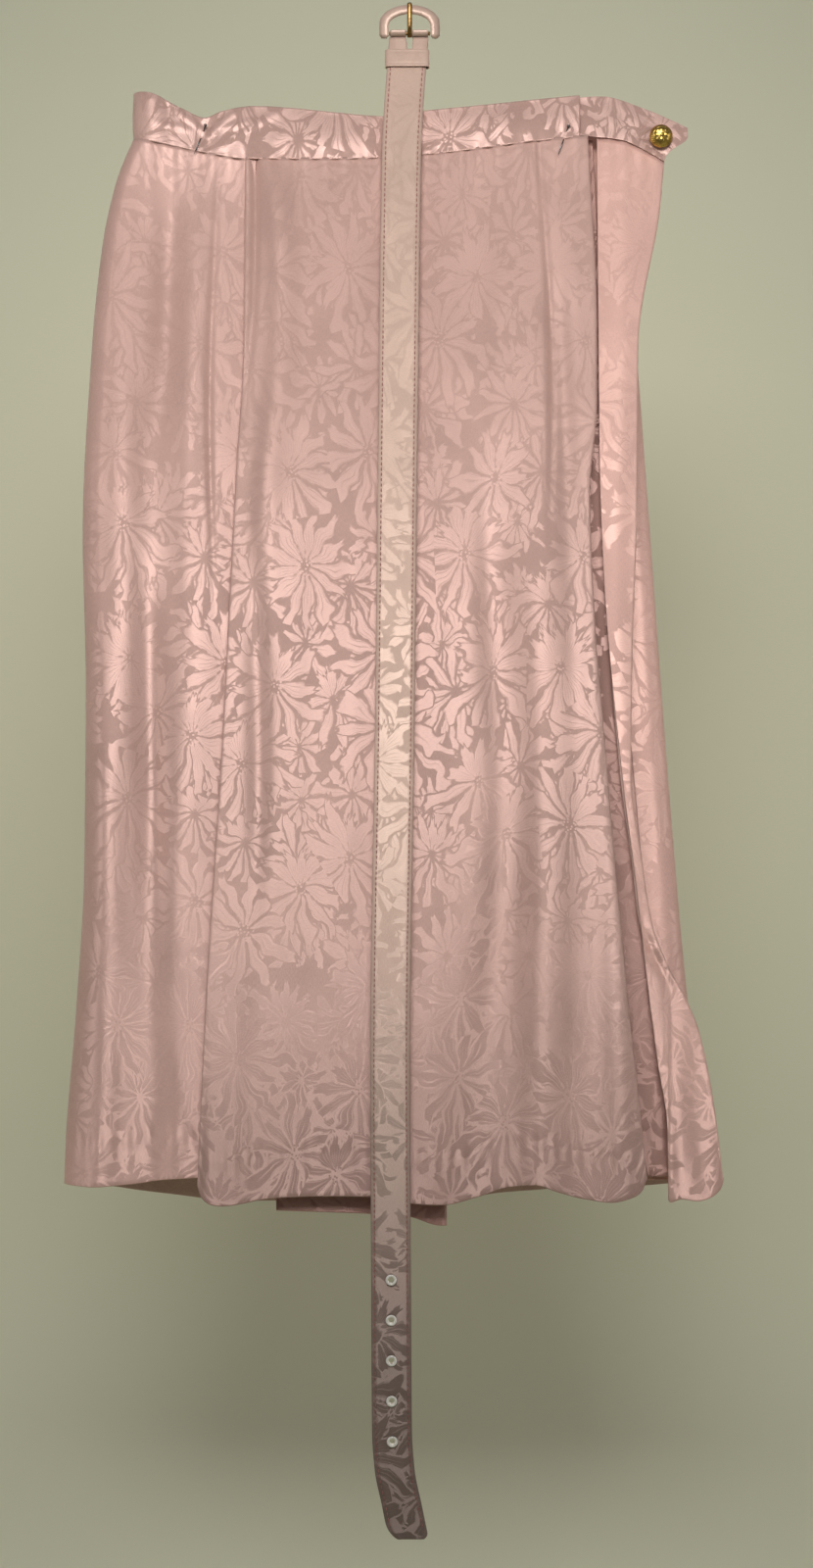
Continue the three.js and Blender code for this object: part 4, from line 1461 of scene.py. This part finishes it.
def bevel(piece: Piece, width: float, segments: int) -> None:
    """Rounds a piece's sharp edges, after its other modifiers.

    Args:
        piece: the piece.
        width: the rounding's width in millimetres.
        segments: its steps.
    """
    rounder = piece.modifiers.new("rounding", "BEVEL")
    rounder.width = width * MM
    rounder.segments = segments
    rounder.limit_method = "ANGLE"
    rounder.angle_limit = math.radians(50)


@dataclass
class EndTab:
    """The loose end of the waistband: a slanted tab that carries the gold button."""

    thickness: float = 2.7
    columns: int = 110
    rows: int = 36

    def surface(self) -> Array:
        """The tab's middle surface: a pillow with pinched creases beside the button.

        Returns:
            The grid of points.
        """
        u = np.linspace(0, 1, self.columns)[None, :]
        v = np.linspace(1, 0, self.rows)[:, None]
        right = lerp(167.0, 182.0, smooth(v, 0, 0.75))
        x = lerp(108.0, right, u)
        z = lerp(TAB_SEAM(x), TAB_TOP(x), v * np.ones_like(u))
        push = 0.5 * np.sin(np.pi * v) * np.sin(np.pi * u) ** 0.5
        push = push + 0.3 * ripple(x, z, 83, 30) + 0.12 * ripple(x, z, 85, 11)
        for x0, z0, slope, size, reach in ((156, -8, 0.5, -0.9, 5), (155.5, -13, -0.2, -0.8, 5),
                                           (154, -3.5, 1.1, -0.6, 5), (163, -20.5, -0.55, -1.0, 6)):
            ray = (z - z0) - slope * (x - x0)
            push = push + size * np.exp(-((ray / 0.9) ** 2)) * np.exp(-(((x - x0) / reach) ** 2))
        push = push + 0.6 * np.exp(-(((x - BUTTON_AT[0]) ** 2 + (z - BUTTON_AT[1]) ** 2) / 60)) * -1.0
        return np.stack([x, -9.0 - push, z], axis=-1)

    def build(self, wardrobe: Wardrobe) -> Piece:
        """Makes the tab.

        Args:
            wardrobe: the finishes.

        Returns:
            The tab.
        """
        grid = self.surface()
        tab = cloth_object("tab_cloth", grid, (420.0, 400.0), self.thickness)
        bevel(tab, 0.9, 3)
        wardrobe.dress(tab, "satin_jacquard")
        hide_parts("tab_outer", "tab_interfacing", "tab_facing")
        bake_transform(tab)
        return tab


# ---- the belt
@dataclass
class Belt:
    """The covered belt. Its pieces are drawn about the hook's contact, then leaned back."""

    hook: Triple = (2.0, -17.0, 66.0)
    lean: float = 1.6
    half_width: float = 12.5
    length: float = 974.0
    top: float = 15.6
    eyelet_first: float = 810.5
    eyelet_pitch: float = 25.4
    eyelets: int = 5
    stitch_inset: float = 2.2
    stitch_pitch: float = 3.4
    slot_bottom: float = 23.5
    slot_half: float = 2.0
    hole: float = 2.5
    bar_z: float = -12.8
    rim_foot: float = -16.2
    rim_outer: Triple = (19.5, -6.1, 12.0)
    rim_inner: Triple = (13.5, -8.0, 8.0)
    keeper_top: float = -23.7
    keeper_height: float = 11.1
    drift: Line = line((0, 0.6), (92, -5.2), (244, -7.2), (464, -9.6), (669, -12.4), (811, -11.8),
                       (905, -11.2), (930, -9.5), (952, -5), (974, -0.5))

    def place(self, points: Array) -> Array:
        """Carries points from the belt's own axes to the shared frame.

        Args:
            points: points in the belt's own axes.

        Returns:
            The points in place.
        """
        a = math.radians(self.lean)
        x, y, z = points[..., 0], points[..., 1], points[..., 2]
        turned_y = y * math.cos(a) + z * math.sin(a)
        turned_z = -y * math.sin(a) + z * math.cos(a)
        return np.stack([x, turned_y, turned_z], axis=-1) + np.array(self.hook)

    def half_at(self, down: Array, side: float) -> Array:
        """The distance from the middle to an edge: full, and drawn in to the belt's point.

        Args:
            down: distance down the belt.
            side: -1 for the left edge, 1 for the right one.

        Returns:
            The distance.
        """
        start = 962.0 if side < 0 else 969.0
        into = np.clip((down - start) / (self.length + 1.5 - start), 0, 1)
        return self.half_width * np.sqrt(np.maximum(1 - into**2.2, 0.0))

    def eyelet_centres(self) -> Array:
        """The middle of each eyelet in the belt's own axes, as (x, z) rows."""
        down = self.eyelet_first + self.eyelet_pitch * np.arange(self.eyelets)
        return np.stack([self.drift(down), -down], axis=1)

    def strap_grid(self, inset: float, y: float, wrap: float) -> Array:
        """One layer of the strap: rows down its length, its long edges curled back by wrap.

        Args:
            inset: how much narrower than the belt the layer is, at each edge.
            y: the layer's depth.
            wrap: how far its edges turn towards the back.

        Returns:
            The grid, with a soft crown across it and slow waves down it.
        """
        down = np.concatenate([np.arange(self.top, 940, 1.5), np.arange(940, self.length, 0.9)])[:, None]
        across = np.linspace(-1, 1, 29)[None, :]
        side = np.where(across < 0, self.half_at(down, -1.0), self.half_at(down, 1.0)) - inset
        x = self.drift(down) + across * np.maximum(side, 0.2)
        edge = np.abs(across) ** 8
        depth = y + wrap * edge - 0.16 * np.exp(-(((np.abs(across) - 0.72) / 0.12) ** 2))
        depth = depth + 0.35 * ripple(x, down, 91, 140, 0.6) + 0.1 * ripple(x, down, 93, 16)
        for cx, cz in self.eyelet_centres():
            near = (x - cx) ** 2 + (-down - cz) ** 2
            depth = depth + 0.3 * np.exp(-near / 20) * (1.0 if y < 0 else -1.0)
        return np.stack([x, depth, np.broadcast_to(-down, x.shape)], axis=-1)

    def strap_layer(self, name: str, inset: float, y: float, wrap: float, thickness: float) -> tuple[Piece,
                                                                                                     Array]:
        """Makes one strap layer, with its eyelet holes and the slot round the prong left open.

        Args:
            name: the piece's name.
            inset: how much narrower it is at each edge.
            y: the layer's depth.
            wrap: how far its edges turn back.
            thickness: the layer's thickness.

        Returns:
            The piece and its grid.
        """
        grid = self.strap_grid(inset, y, wrap)
        rows, columns = grid.shape[:2]
        faces = grid_faces(rows, columns)
        flat_grid = grid.reshape(-1, 3)
        middle = flat_grid[faces].mean(axis=1)
        keep = ~((np.abs(middle[:, 0]) < self.slot_half) & (middle[:, 2] > -self.slot_bottom))
        for cx, cz in self.eyelet_centres():
            keep &= (middle[:, 0] - cx) ** 2 + (middle[:, 2] - cz) ** 2 > self.hole**2
        uv = flat_map(grid, (520.0, 0.0))
        piece = make_object(name, self.place(flat_grid), faces[keep], uv.reshape(-1, 2))
        thicken(piece, thickness)
        return piece, grid

    def stitches(self) -> Piece:
        """The two rows of edge stitching: each stitch a small rounded grain lying down the belt.

        Returns:
            The stitches as one piece.
        """
        down = np.arange(26.0, self.length - 9, self.stitch_pitch)
        theta = np.linspace(0, math.pi, 6)[:, None]
        phi = np.linspace(0, 2 * math.pi, 6, endpoint=False)[None, :]
        grain = np.stack([0.34 * np.sin(theta) * np.cos(phi), 0.2 * np.sin(theta) * np.sin(phi),
                          1.2 * np.cos(theta) * np.ones_like(phi)], axis=-1).reshape(-1, 3)
        points, faces = [], []
        base = grid_faces(6, 6, closed_columns=True)
        for side in (-1.0, 1.0):
            half = self.half_at(down, side) - self.stitch_inset
            for d, h in zip(down, half):
                x = float(self.drift(np.array(d))) + side * h
                y = -1.62 + 0.35 * float(ripple(np.array(x), np.array(d), 91, 140, 0.6))
                faces.append(base + len(points) * len(grain))
                points.append(grain + np.array([x, y, -d]))
        piece = make_object("belt_stitching", self.place(np.concatenate(points)), np.concatenate(faces),
                            np.zeros((len(points) * len(grain), 2)))
        return merged(piece, 0.001)

    def turnback(self) -> tuple[Piece, Array]:
        """The strap's end, over the bar from the front and down behind the strap.

        Returns:
            The piece and its grid.
        """
        radius = 2.05
        angle = np.linspace(math.pi, 0, 22)
        y = np.concatenate([[-radius], radius * np.cos(angle), np.linspace(radius, 2.35, 10)[1:],
                            np.full(24, 2.35)])
        z = np.concatenate([[self.bar_z - 2.4], self.bar_z + radius * np.sin(angle),
                            np.linspace(self.bar_z, self.bar_z - 6, 10)[1:],
                            np.linspace(self.bar_z - 6, -52, 25)[1:]])
        across = np.linspace(-1, 1, 25)[None, :] * 12.1
        x = self.drift(-z)[:, None] + across
        grid = np.stack([x, np.broadcast_to(y[:, None], x.shape), np.broadcast_to(z[:, None], x.shape)],
                        axis=-1)
        faces = grid_faces(*grid.shape[:2])
        middle = grid.reshape(-1, 3)[faces].mean(axis=1)
        keep = ~((np.abs(middle[:, 0]) < 2.1) & (middle[:, 2] > -self.slot_bottom))
        piece = make_object("belt_turnback_cloth", self.place(grid.reshape(-1, 3)), faces[keep],
                            flat_map(grid, (560.0, 30.0)).reshape(-1, 2))
        thicken(piece, 0.75)
        return piece, grid

    def rim(self, size: Triple) -> Array:
        """One edge of the buckle's rim: a straight leg, half an ellipse over the top, the other leg.

        Args:
            size: its half width, the height where it begins to curve, and its rise from there.

        Returns:
            Its (x, z) points, from the right foot to the left one.
        """
        half, spring, rise = size
        theta = np.linspace(0, math.pi, 64)
        arch = np.stack([half * np.cos(theta), spring + rise * np.sin(theta)], axis=1)
        leg = np.stack([np.full(13, half), lerp(self.rim_foot, spring, np.linspace(0, 1, 14)[:-1])], axis=1)
        return np.concatenate([leg, arch, (leg * np.array([-1.0, 1.0]))[::-1]])

    def buckle_cover(self) -> Piece:
        """The covered rim: a puffed tube bent to a horseshoe, with fine gathers on its inner side.

        Returns:
            The piece.
        """
        outer, inner = self.rim(self.rim_outer), self.rim(self.rim_inner)
        count, sides = len(outer), 40
        cap = np.ones(count)
        cap[:4] = cap[-4:][::-1] = np.array([0.02, 0.55, 0.86, 0.98])
        phi = np.linspace(0, 2 * math.pi, sides, endpoint=False)[None, :]
        mid, half = (outer + inner) / 2, (outer - inner) / 2
        run = np.arange(count)[:, None]
        gather = 1 + 0.022 * np.sin(run * 1.9 + 2 * np.sin(run * 0.31)) * (1 - np.cos(phi))
        gather = gather + 0.012 * np.sin(run * 0.83 + phi)
        in_plane = np.cos(phi) * gather * cap[:, None]
        deep = np.sin(phi) * np.where(np.sin(phi) < 0, 2.2, 1.5) * gather * cap[:, None]
        x = mid[:, :1] + half[:, :1] * in_plane
        z = mid[:, 1:] + half[:, 1:] * in_plane
        grid = np.stack([x, deep, z], axis=-1)
        uv = np.stack([np.broadcast_to(run * 1.1, x.shape) + 900, np.broadcast_to(phi * 3.0, x.shape)],
                      axis=-1) * MM
        faces = capped_tube(count, sides)
        piece = make_object("buckle_cover_cloth", self.place(grid.reshape(-1, 3)), faces, uv.reshape(-1, 2))
        return merged(piece, 0.001)

    def prong(self) -> Piece:
        """The brass prong: a flattened tapering wire from its ring round the bar to the rim's top.

        Returns:
            The piece.
        """
        knots = np.array([(-2.0, self.bar_z), (-3.4, self.bar_z + 1.6), (-4.1, self.bar_z + 4), (-4.2, -4),
                          (-4.15, 1.5), (-4.0, 4.6), (-3.7, 6.0)])
        t = np.linspace(0, len(knots) - 1, 60)
        y = line(*enumerate(knots[:, 0]))(t)
        z = line(*enumerate(knots[:, 1]))(t)
        phi = np.linspace(0, 2 * math.pi, 24, endpoint=False)[None, :]
        wide = line((0, 1.5), (0.8, 1.62), (0.95, 1.3), (1, 0.12))(t / t[-1])[:, None]
        thick = line((0, 1.1), (0.8, 0.95), (0.95, 0.8), (1, 0.1))(t / t[-1])[:, None]
        dy, dz = np.gradient(y), np.gradient(z)
        size = np.hypot(dy, dz)
        x = wide * np.cos(phi)
        py = y[:, None] + thick * np.sin(phi) * (dz / size)[:, None]
        pz = z[:, None] - thick * np.sin(phi) * (dy / size)[:, None]
        tube = np.stack([x, py, pz], axis=-1).reshape(-1, 3)
        faces = capped_tube(60, 24)
        ring_r = np.array([1.55, 2.2, 2.4, 2.4, 2.2, 1.55])
        ring_x = np.array([-1.5, -1.5, -1.2, 1.2, 1.5, 1.5])
        around = np.linspace(0, 2 * math.pi, 36, endpoint=False)
        ring = np.stack([np.broadcast_to(ring_x[:, None], (6, 36)), ring_r[:, None] * np.cos(around),
                         self.bar_z + ring_r[:, None] * np.sin(around)], axis=-1).reshape(-1, 3)
        faces += [[a + len(tube) for a in f] for f in grid_faces(6, 36, closed_rows=True,
                                                                 closed_columns=True)]
        points = np.concatenate([tube, ring])
        return merged(make_object("prong_metal", self.place(points), faces, np.zeros((len(points), 2))),
                      0.001)

    def keeper(self) -> Piece:
        """The belt loop: a flattened ring of doubled cloth with a stitched line at each edge.

        Returns:
            The piece.
        """
        rows, columns = 16, 96
        around = np.linspace(0, 2 * math.pi, columns, endpoint=False)
        power = 0.22
        x = 13.8 * np.sign(np.cos(around)) * np.abs(np.cos(around)) ** power
        y = 0.55 + 3.15 * np.sign(np.sin(around)) * np.abs(np.sin(around)) ** 0.55
        t = np.linspace(0, 1, rows)[:, None]
        z = self.keeper_top - self.keeper_height * t
        swell = 1 + 0.012 * np.sin(np.pi * t)
        groove = 1 - 0.05 * (np.exp(-(((t - 0.16) / 0.05) ** 2)) + np.exp(-(((t - 0.84) / 0.05) ** 2)))
        middle = float(self.drift(np.array(29.0)))
        grid = np.stack([middle + x * swell, 0.55 + (y - 0.55) * swell * groove, z * np.ones_like(x)],
                        axis=-1)
        arc = np.concatenate([[0], np.cumsum(np.hypot(np.diff(x), np.diff(y)))])
        uv = np.stack([arc[None, :] + 0 * t, -self.keeper_height * t + 0 * arc[None, :]], axis=-1) * MM
        piece = make_object("keeper_cloth", self.place(grid.reshape(-1, 3)),
                            grid_faces(rows, columns, closed_columns=True), uv.reshape(-1, 2))
        thicken(piece, 0.9)
        bevel(piece, 0.3, 2)
        return piece

    def bar(self) -> Piece:
        """The brass bar that the strap and the prong hang from.

        Returns:
            The piece.
        """

        def along(p: Array) -> Array:
            """Lays the height axis across the belt, at the bar."""
            return self.place(np.stack([p[:, 2], p[:, 1], p[:, 0] + self.bar_z], axis=-1))

        profile = [(0, -13.2), (1.1, -13.2), (1.2, -13.0), (1.2, 13.0), (1.1, 13.2), (0, 13.2)]
        return turned("bar_metal", profile, 28, along)

    def eyelet(self, number: int) -> tuple[Piece, Piece]:
        """One eyelet, its rolled rim at the front and its barrel through, and its washer behind.

        Args:
            number: its place from the top, from 0.

        Returns:
            The eyelet and its washer.
        """
        cx, cz = self.eyelet_centres()[number]

        def through(p: Array) -> Array:
            """Lays the height axis through the belt, at this eyelet."""
            return self.place(np.stack([p[:, 0] + cx, p[:, 2], p[:, 1] + cz], axis=-1))

        rim = [(2.0, -2.3), (2.25, -2.62), (2.7, -2.72), (3.15, -2.6), (3.45, -2.3), (3.5, -2.05),
               (3.3, -1.95), (2.4, -2.0), (2.4, 2.35), (2.0, 2.4), (2.0, -2.3)]
        washer = [(2.5, 1.95), (3.4, 1.95), (3.5, 2.1), (3.45, 2.35), (3.0, 2.55), (2.6, 2.45), (2.5, 1.95)]
        ring = turned(f"eyelet_{number + 1}_metal", rim, 40, through)
        return ring, turned(f"washer_{number + 1}_metal", washer, 40, through)

    def build(self, wardrobe: Wardrobe) -> list[Piece]:
        """Makes every piece of the belt, dresses it, and puts it on its own body.

        Args:
            wardrobe: the finishes.

        Returns:
            The pieces.
        """
        made: list[Piece] = []

        def add(piece: Piece, node: str | None, body: str, look: str) -> None:
            """Finishes one piece.

            Args:
                piece: the piece.
                node: the node it stands for, or None.
                body: the body it rides on.
                look: the material's name.
            """
            wardrobe.dress(piece, look)
            if node:
                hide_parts(node)
            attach(piece, body)
            made.append(piece)

        face, face_grid = self.strap_layer("belt_face_cloth", 0.0, -1.1, 0.9, 0.8)
        lining, lining_grid = self.strap_layer("belt_lining_cloth", 0.5, 1.25, -0.5, 0.7)
        back, back_grid = self.turnback()
        add(face, "belt_face", "belt_strap", "belt_satin")
        add(lining, "belt_lining", "belt_strap", "satin_plain")
        add(back, "belt_turnback", "belt_strap", "belt_satin")
        add(self.stitches(), None, "belt_strap", "sewing_thread")
        add(self.buckle_cover(), "buckle_cover", "buckle", "belt_satin")
        add(self.bar(), "buckle_bar", "buckle", "buckle_brass")
        add(self.prong(), "buckle_prong", "prong", "buckle_brass")
        add(self.keeper(), "belt_keeper", "keeper", "belt_satin")
        for number in range(self.eyelets):
            rim, washer = self.eyelet(number)
            add(rim, f"eyelet_{number + 1}", "belt_strap", "eyelet_silver")
            add(washer, f"eyelet_washer_{number + 1}", "belt_strap", "eyelet_silver")
        return made


# ---- buttons and pins
@dataclass
class Notions:
    """The gold button, the flat buttons and the two dress pins."""

    button: Pair = BUTTON_AT
    radius: float = 7.5
    height: float = 4.2

    def facing(self, x: float, y: float, z: float) -> Callable[[Array], Array]:
        """A placing that turns the height axis to the front, -Y, with its zero at the point."""
        return lambda p: np.stack([p[:, 0] + x, y - p[:, 2], p[:, 1] + z], axis=-1)

    def relief(self, r: Array, a: Array) -> Array:
        """The dome's raised work: a ring of leaves round a knot, inside a roped rim.

        Args:
            r: distances from the middle.
            a: angles.

        Returns:
            The extra height.
        """
        leaves = 0.32 * np.maximum(np.cos(4 * a), 0) ** 0.5 * np.exp(-(((r - 3.4) / 1.2) ** 2))
        between = 0.2 * np.maximum(-np.cos(4 * a), 0) ** 2 * np.exp(-(((r - 4.4) / 0.7) ** 2))
        knot = 0.35 * np.exp(-((r / 1.1) ** 2))
        ring = 0.22 * np.exp(-(((r - 5.5) / 0.3) ** 2))
        rope = 0.16 * np.sin(26 * a + 5 * r) * np.exp(-(((r - 6.5) / 0.45) ** 2))
        return leaves + between + knot + ring + rope

    def gold(self, wardrobe: Wardrobe) -> list[Piece]:
        """The domed metal button and its shank.

        Args:
            wardrobe: the finishes.

        Returns:
            The dome and the shank.
        """
        x, z = self.button
        back = -12.1
        r = np.linspace(0.02, 0.97, 44)
        rise = self.height * (1 - r**2.6) ** 0.72 * 0.98 + 0.3
        dome = [(0, self.height)] + [(float(a), float(b)) for a, b in zip(self.radius * r, rise)]
        profile = dome + [(7.42, 0.75), (7.5, 0.5), (7.3, 0.2), (6.6, 0.05), (0, 0)]
        face = turned("gold_button_metal", profile, 160, self.facing(x, back, z), self.dome_relief)
        shank = turned("gold_shank_metal", [(0, -1.3), (1.5, -1.3), (1.6, -1.1), (1.6, -0.4), (1.4, -0.3),
                                            (0, -0.3)], 32,
                       self.facing(x, back, z))
        for piece, node in ((face, "gold_button_dome"), (shank, "gold_button_shank")):
            wardrobe.dress(piece, "button_gold")
            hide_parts(node)
            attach(piece, "gold_button")
        return [face, shank]

    def dome_relief(self, r: Array, a: Array) -> Array:
        """The relief on the front rows only: the rows past the rim stay plain."""
        rows = np.arange(r.shape[0])[:, None]
        return np.where(rows < 45, self.relief(r, a), 0.0)

    def flat_button(self, name: str, node: str, body: str, x: float, y: float, z: float, radius: float,
                    wardrobe: Wardrobe) -> Piece:
        """A sewn resin button with a raised rim and its thread crossed in the dish.

        Args:
            name: the piece's name.
            node: the node it stands for.
            body: the body it rides on.
            x: its middle across.
            y: its back face.
            z: its middle up.
            radius: its radius.
            wardrobe: the finishes.

        Returns:
            The button.
        """
        profile = [(0, -1.35), (radius * 0.62, -1.35), (radius * 0.74, -1.75), (radius * 0.9, -1.85),
                   (radius, -1.45), (radius, -0.7), (radius * 0.9, -0.3), (0, -0.3)]
        button = turned(name, profile, 48, self.facing(x, y, z))
        wardrobe.dress(button, "button_resin")
        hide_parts(node)
        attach(button, body)
        points, faces = [], []
        for k, angle in enumerate((0.7, 0.7 + math.pi / 2)):
            t = np.linspace(-1, 1, 12)[:, None]
            phi = np.linspace(0, 2 * math.pi, 8, endpoint=False)[None, :]
            along = 1.5 * t + 0 * phi
            side = 0.34 * np.cos(phi) * np.sqrt(1.02 - t**2)
            out = -1.35 - 0.12 * k - 0.3 * np.sqrt(1.02 - t**2) * (1 + 0.5 * np.sin(phi))
            c, s = math.cos(angle), math.sin(angle)
            cord = np.stack([along * c - side * s, along * s + side * c, out + 0 * along],
                            axis=-1).reshape(-1, 3)
            faces.append(grid_faces(12, 8, closed_columns=True) + 96 * k)
            points.append(cord)
        thread = make_object(f"{name}_thread", self.facing(x, y, z)(np.concatenate(points)),
                             np.concatenate(faces), np.zeros((192, 2)))
        wardrobe.dress(thread, "sewing_thread")
        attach(thread, body)
        return button

    def pin(self, name: str, node: str, x: float, z: float, lean: float, wardrobe: Wardrobe) -> Piece:
        """A steel dress pin: a small rolled head on a tapering shank.

        Args:
            name: the piece's name.
            node: the node it stands for.
            x: the head's place across.
            z: the head's height.
            lean: how far it leans, in radians.
            wardrobe: the finishes.

        Returns:
            The pin.
        """
        c, s = math.cos(lean), math.sin(lean)

        def turn(p: Array) -> Array:
            """Lays the pin's length down the band, leaned to one side and dipped through the cloth.

            Args:
                p: points with the pin along +Z.

            Returns:
                The points in place.
            """
            inside = 2.9 * np.exp(-(((p[:, 2] - 7.5) / 3.6) ** 2))
            across = x + p[:, 0] * c - p[:, 2] * s
            height = z - p[:, 0] * s - p[:, 2] * c
            return np.stack([across, -16.2 + p[:, 1] + inside, height], axis=-1)

        profile = [(0, 0), (0.6, 0.08), (1.0, 0.45), (1.12, 0.9), (1.0, 1.35), (0.6, 1.7), (0.42, 1.85)]
        profile += [(0.4, float(v)) for v in range(3, 18)] + [(0.32, 18), (0.2, 20), (0, 21)]
        piece = turned(name, profile, 20, turn)
        wardrobe.dress(piece, "pin_steel")
        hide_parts(node)
        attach(piece, "skirt")
        return piece

    def build(self, wardrobe: Wardrobe) -> list[Piece]:
        """Makes every button and pin.

        Args:
            wardrobe: the finishes.

        Returns:
            The pieces.
        """
        x, z = self.button
        made = self.gold(wardrobe)
        made.append(self.flat_button("backing_button_resin", "backing_button", "wrap_end", x, -7.5, z, 4.2,
                                     wardrobe))
        made.append(self.flat_button("inner_button_resin", "inner_button", "skirt", -116, -11.6, -10, 5.5,
                                     wardrobe))
        made.append(self.pin("pin_left_metal", "dress_pin_left", -129.3, -4.5, 0.37, wardrobe))
        made.append(self.pin("pin_right_metal", "dress_pin_right", 104.8, -5, 0.35, wardrobe))
        return made


def dress_kept_nodes(wardrobe: Wardrobe) -> None:
    """Gives the CAD nodes that stay visible their finishes.

    Args:
        wardrobe: the finishes.
    """
    kept = {"belt_stiffener": "interlining", "buckle_core": "pin_steel", "buckle_back_plate": "pin_steel"}
    for node, look in kept.items():
        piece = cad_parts[node]
        piece.data.materials.clear()
        piece.data.materials.append(wardrobe.materials[look])


# ---- the set
@dataclass
class Studio:
    """A pale floor that sweeps up behind, soft lamps and the camera."""

    eye: Triple = (0.0, -1.45, -0.43)
    plane_y: float = -0.02
    seen_height: float = 1.008
    floor_z: float = -1.12
    wall_y: float = 0.42
    bend: float = 400.0

    def sweep(self) -> Piece:
        """The floor and backdrop in one sheet, clear from behind so that the back is seen and lit.

        Returns:
            The sheet.
        """
        z = self.floor_z / MM
        wall = self.wall_y / MM
        angle = np.linspace(0, math.pi / 2, 14)
        y = np.concatenate([np.linspace(-9000, wall - self.bend, 8),
                            wall - self.bend + self.bend * np.sin(angle[1:]), np.full(7, wall)])
        h = np.concatenate([np.full(8, z), z + self.bend * (1 - np.cos(angle[1:])),
                            np.linspace(z + 500, z + 3200, 7)])
        x = np.linspace(-6000, 6000, 9)[None, :]
        grid = np.stack([x + 0 * y[:, None], y[:, None] + 0 * x, h[:, None] + 0 * x], axis=-1)
        piece = make_object("studio_sweep", grid.reshape(-1, 3), grid_faces(*grid.shape[:2])[:, ::-1])
        material, g, shader = blank_material("studio_paint")
        at = g.node("ShaderNodeTexCoord").outputs["Object"]
        paint = g.mix(g.noise(at, 2.0, 2.0), srgb(208, 208, 182), srgb(214, 214, 190))
        g.feed(shader.inputs["Base Color"], paint)
        shader.inputs["Roughness"].default_value = 0.8
        behind = g.node("ShaderNodeNewGeometry").outputs["Backfacing"]
        g.feed(shader.inputs["Alpha"], g.math("SUBTRACT", 1.0, behind))
        piece.data.materials.append(material)
        piece.visible_shadow = False
        return piece

    def lamp(self, name: str, at: Triple, aim: Triple, size: Pair,
             power: float, tint: Triple, spread: float = 180.0) -> None:
        """An area lamp that faces a point, its light fanned out over spread degrees.

        Args:
            name: the lamp's name.
            at: its place.
            aim: the point it faces.
            size: its width and height.
            power: its power in watts.
            tint: its colour.
            spread: the angle of its fan, in degrees.
        """
        light = bpy.data.lights.new(name, "AREA")
        light.shape = "RECTANGLE"
        light.size, light.size_y = size
        light.energy = power
        light.color = tint
        light.spread = math.radians(spread)
        holder = bpy.data.objects.new(name, light)
        bpy.context.scene.collection.objects.link(holder)
        holder.location = at
        holder.rotation_euler = (Vector(aim) - Vector(at)).to_track_quat("-Z", "Y").to_euler()

    def build(self) -> None:
        """Sets the stage, the lamps, the world and the camera."""
        self.sweep()
        self.lamp("key", (-0.05, -1.35, 0.6), (0, 0, -0.08), (1.0, 0.6), 2.85, LAMP_WHITE, spread=64)
        self.lamp("fill", (1.9, -0.9, 0.1), (0.1, 0, -0.3), (0.8, 1.2), 5.8, (1.0, 0.985, 0.975))
        self.lamp("side", (-1.9, -0.8, 0.2), (-0.1, 0, -0.25), (0.8, 1.2), 6.9, LAMP_WHITE)
        self.lamp("behind", (0.5, 2.3, 1.1), (0, 0.1, -0.4), (1.4, 1.2), 30, LAMP_WHITE)
        world = bpy.data.worlds.new("studio_air")
        world.use_nodes = True
        air = Graph(world.node_tree)
        shown = air.node("ShaderNodeLightPath").outputs["Is Camera Ray"]
        background = world.node_tree.nodes["Background"]
        background.inputs["Color"].default_value = (0.93, 0.96, 0.96, 1.0)
        air.feed(background.inputs["Strength"], air.math("MULTIPLY_ADD", shown, 0.45, 0.13))
        bpy.context.scene.world = world
        bpy.context.scene.view_settings.view_transform = "Standard"
        lens = bpy.data.cameras.new("camera")
        lens.sensor_fit = "VERTICAL"
        lens.sensor_height = 36.0
        lens.lens = 36.0 * (self.plane_y - self.eye[1]) / self.seen_height
        lens.dof.use_dof = False
        holder = bpy.data.objects.new("camera", lens)
        holder.location = self.eye
        holder.rotation_euler = (math.pi / 2, 0, 0)
        bpy.context.scene.collection.objects.link(holder)
        bpy.context.scene.camera = holder


def main() -> None:
    """Builds the pieces in order and reports each one."""
    logging.basicConfig(level=logging.INFO, format="%(name)s %(message)s")
    wardrobe = Wardrobe()
    made = [panel.build(wardrobe) for panel in skirt_panels()]
    made += WaistBand().build(wardrobe)
    made.append(EndTab().build(wardrobe))
    made += Belt().build(wardrobe)
    made += Notions().build(wardrobe)
    dress_kept_nodes(wardrobe)
    Studio().build()
    for piece in made:
        LOG.info("made %s, %d faces", piece.name, len(piece.data.polygons))


if __name__ == "__main__":
    main()
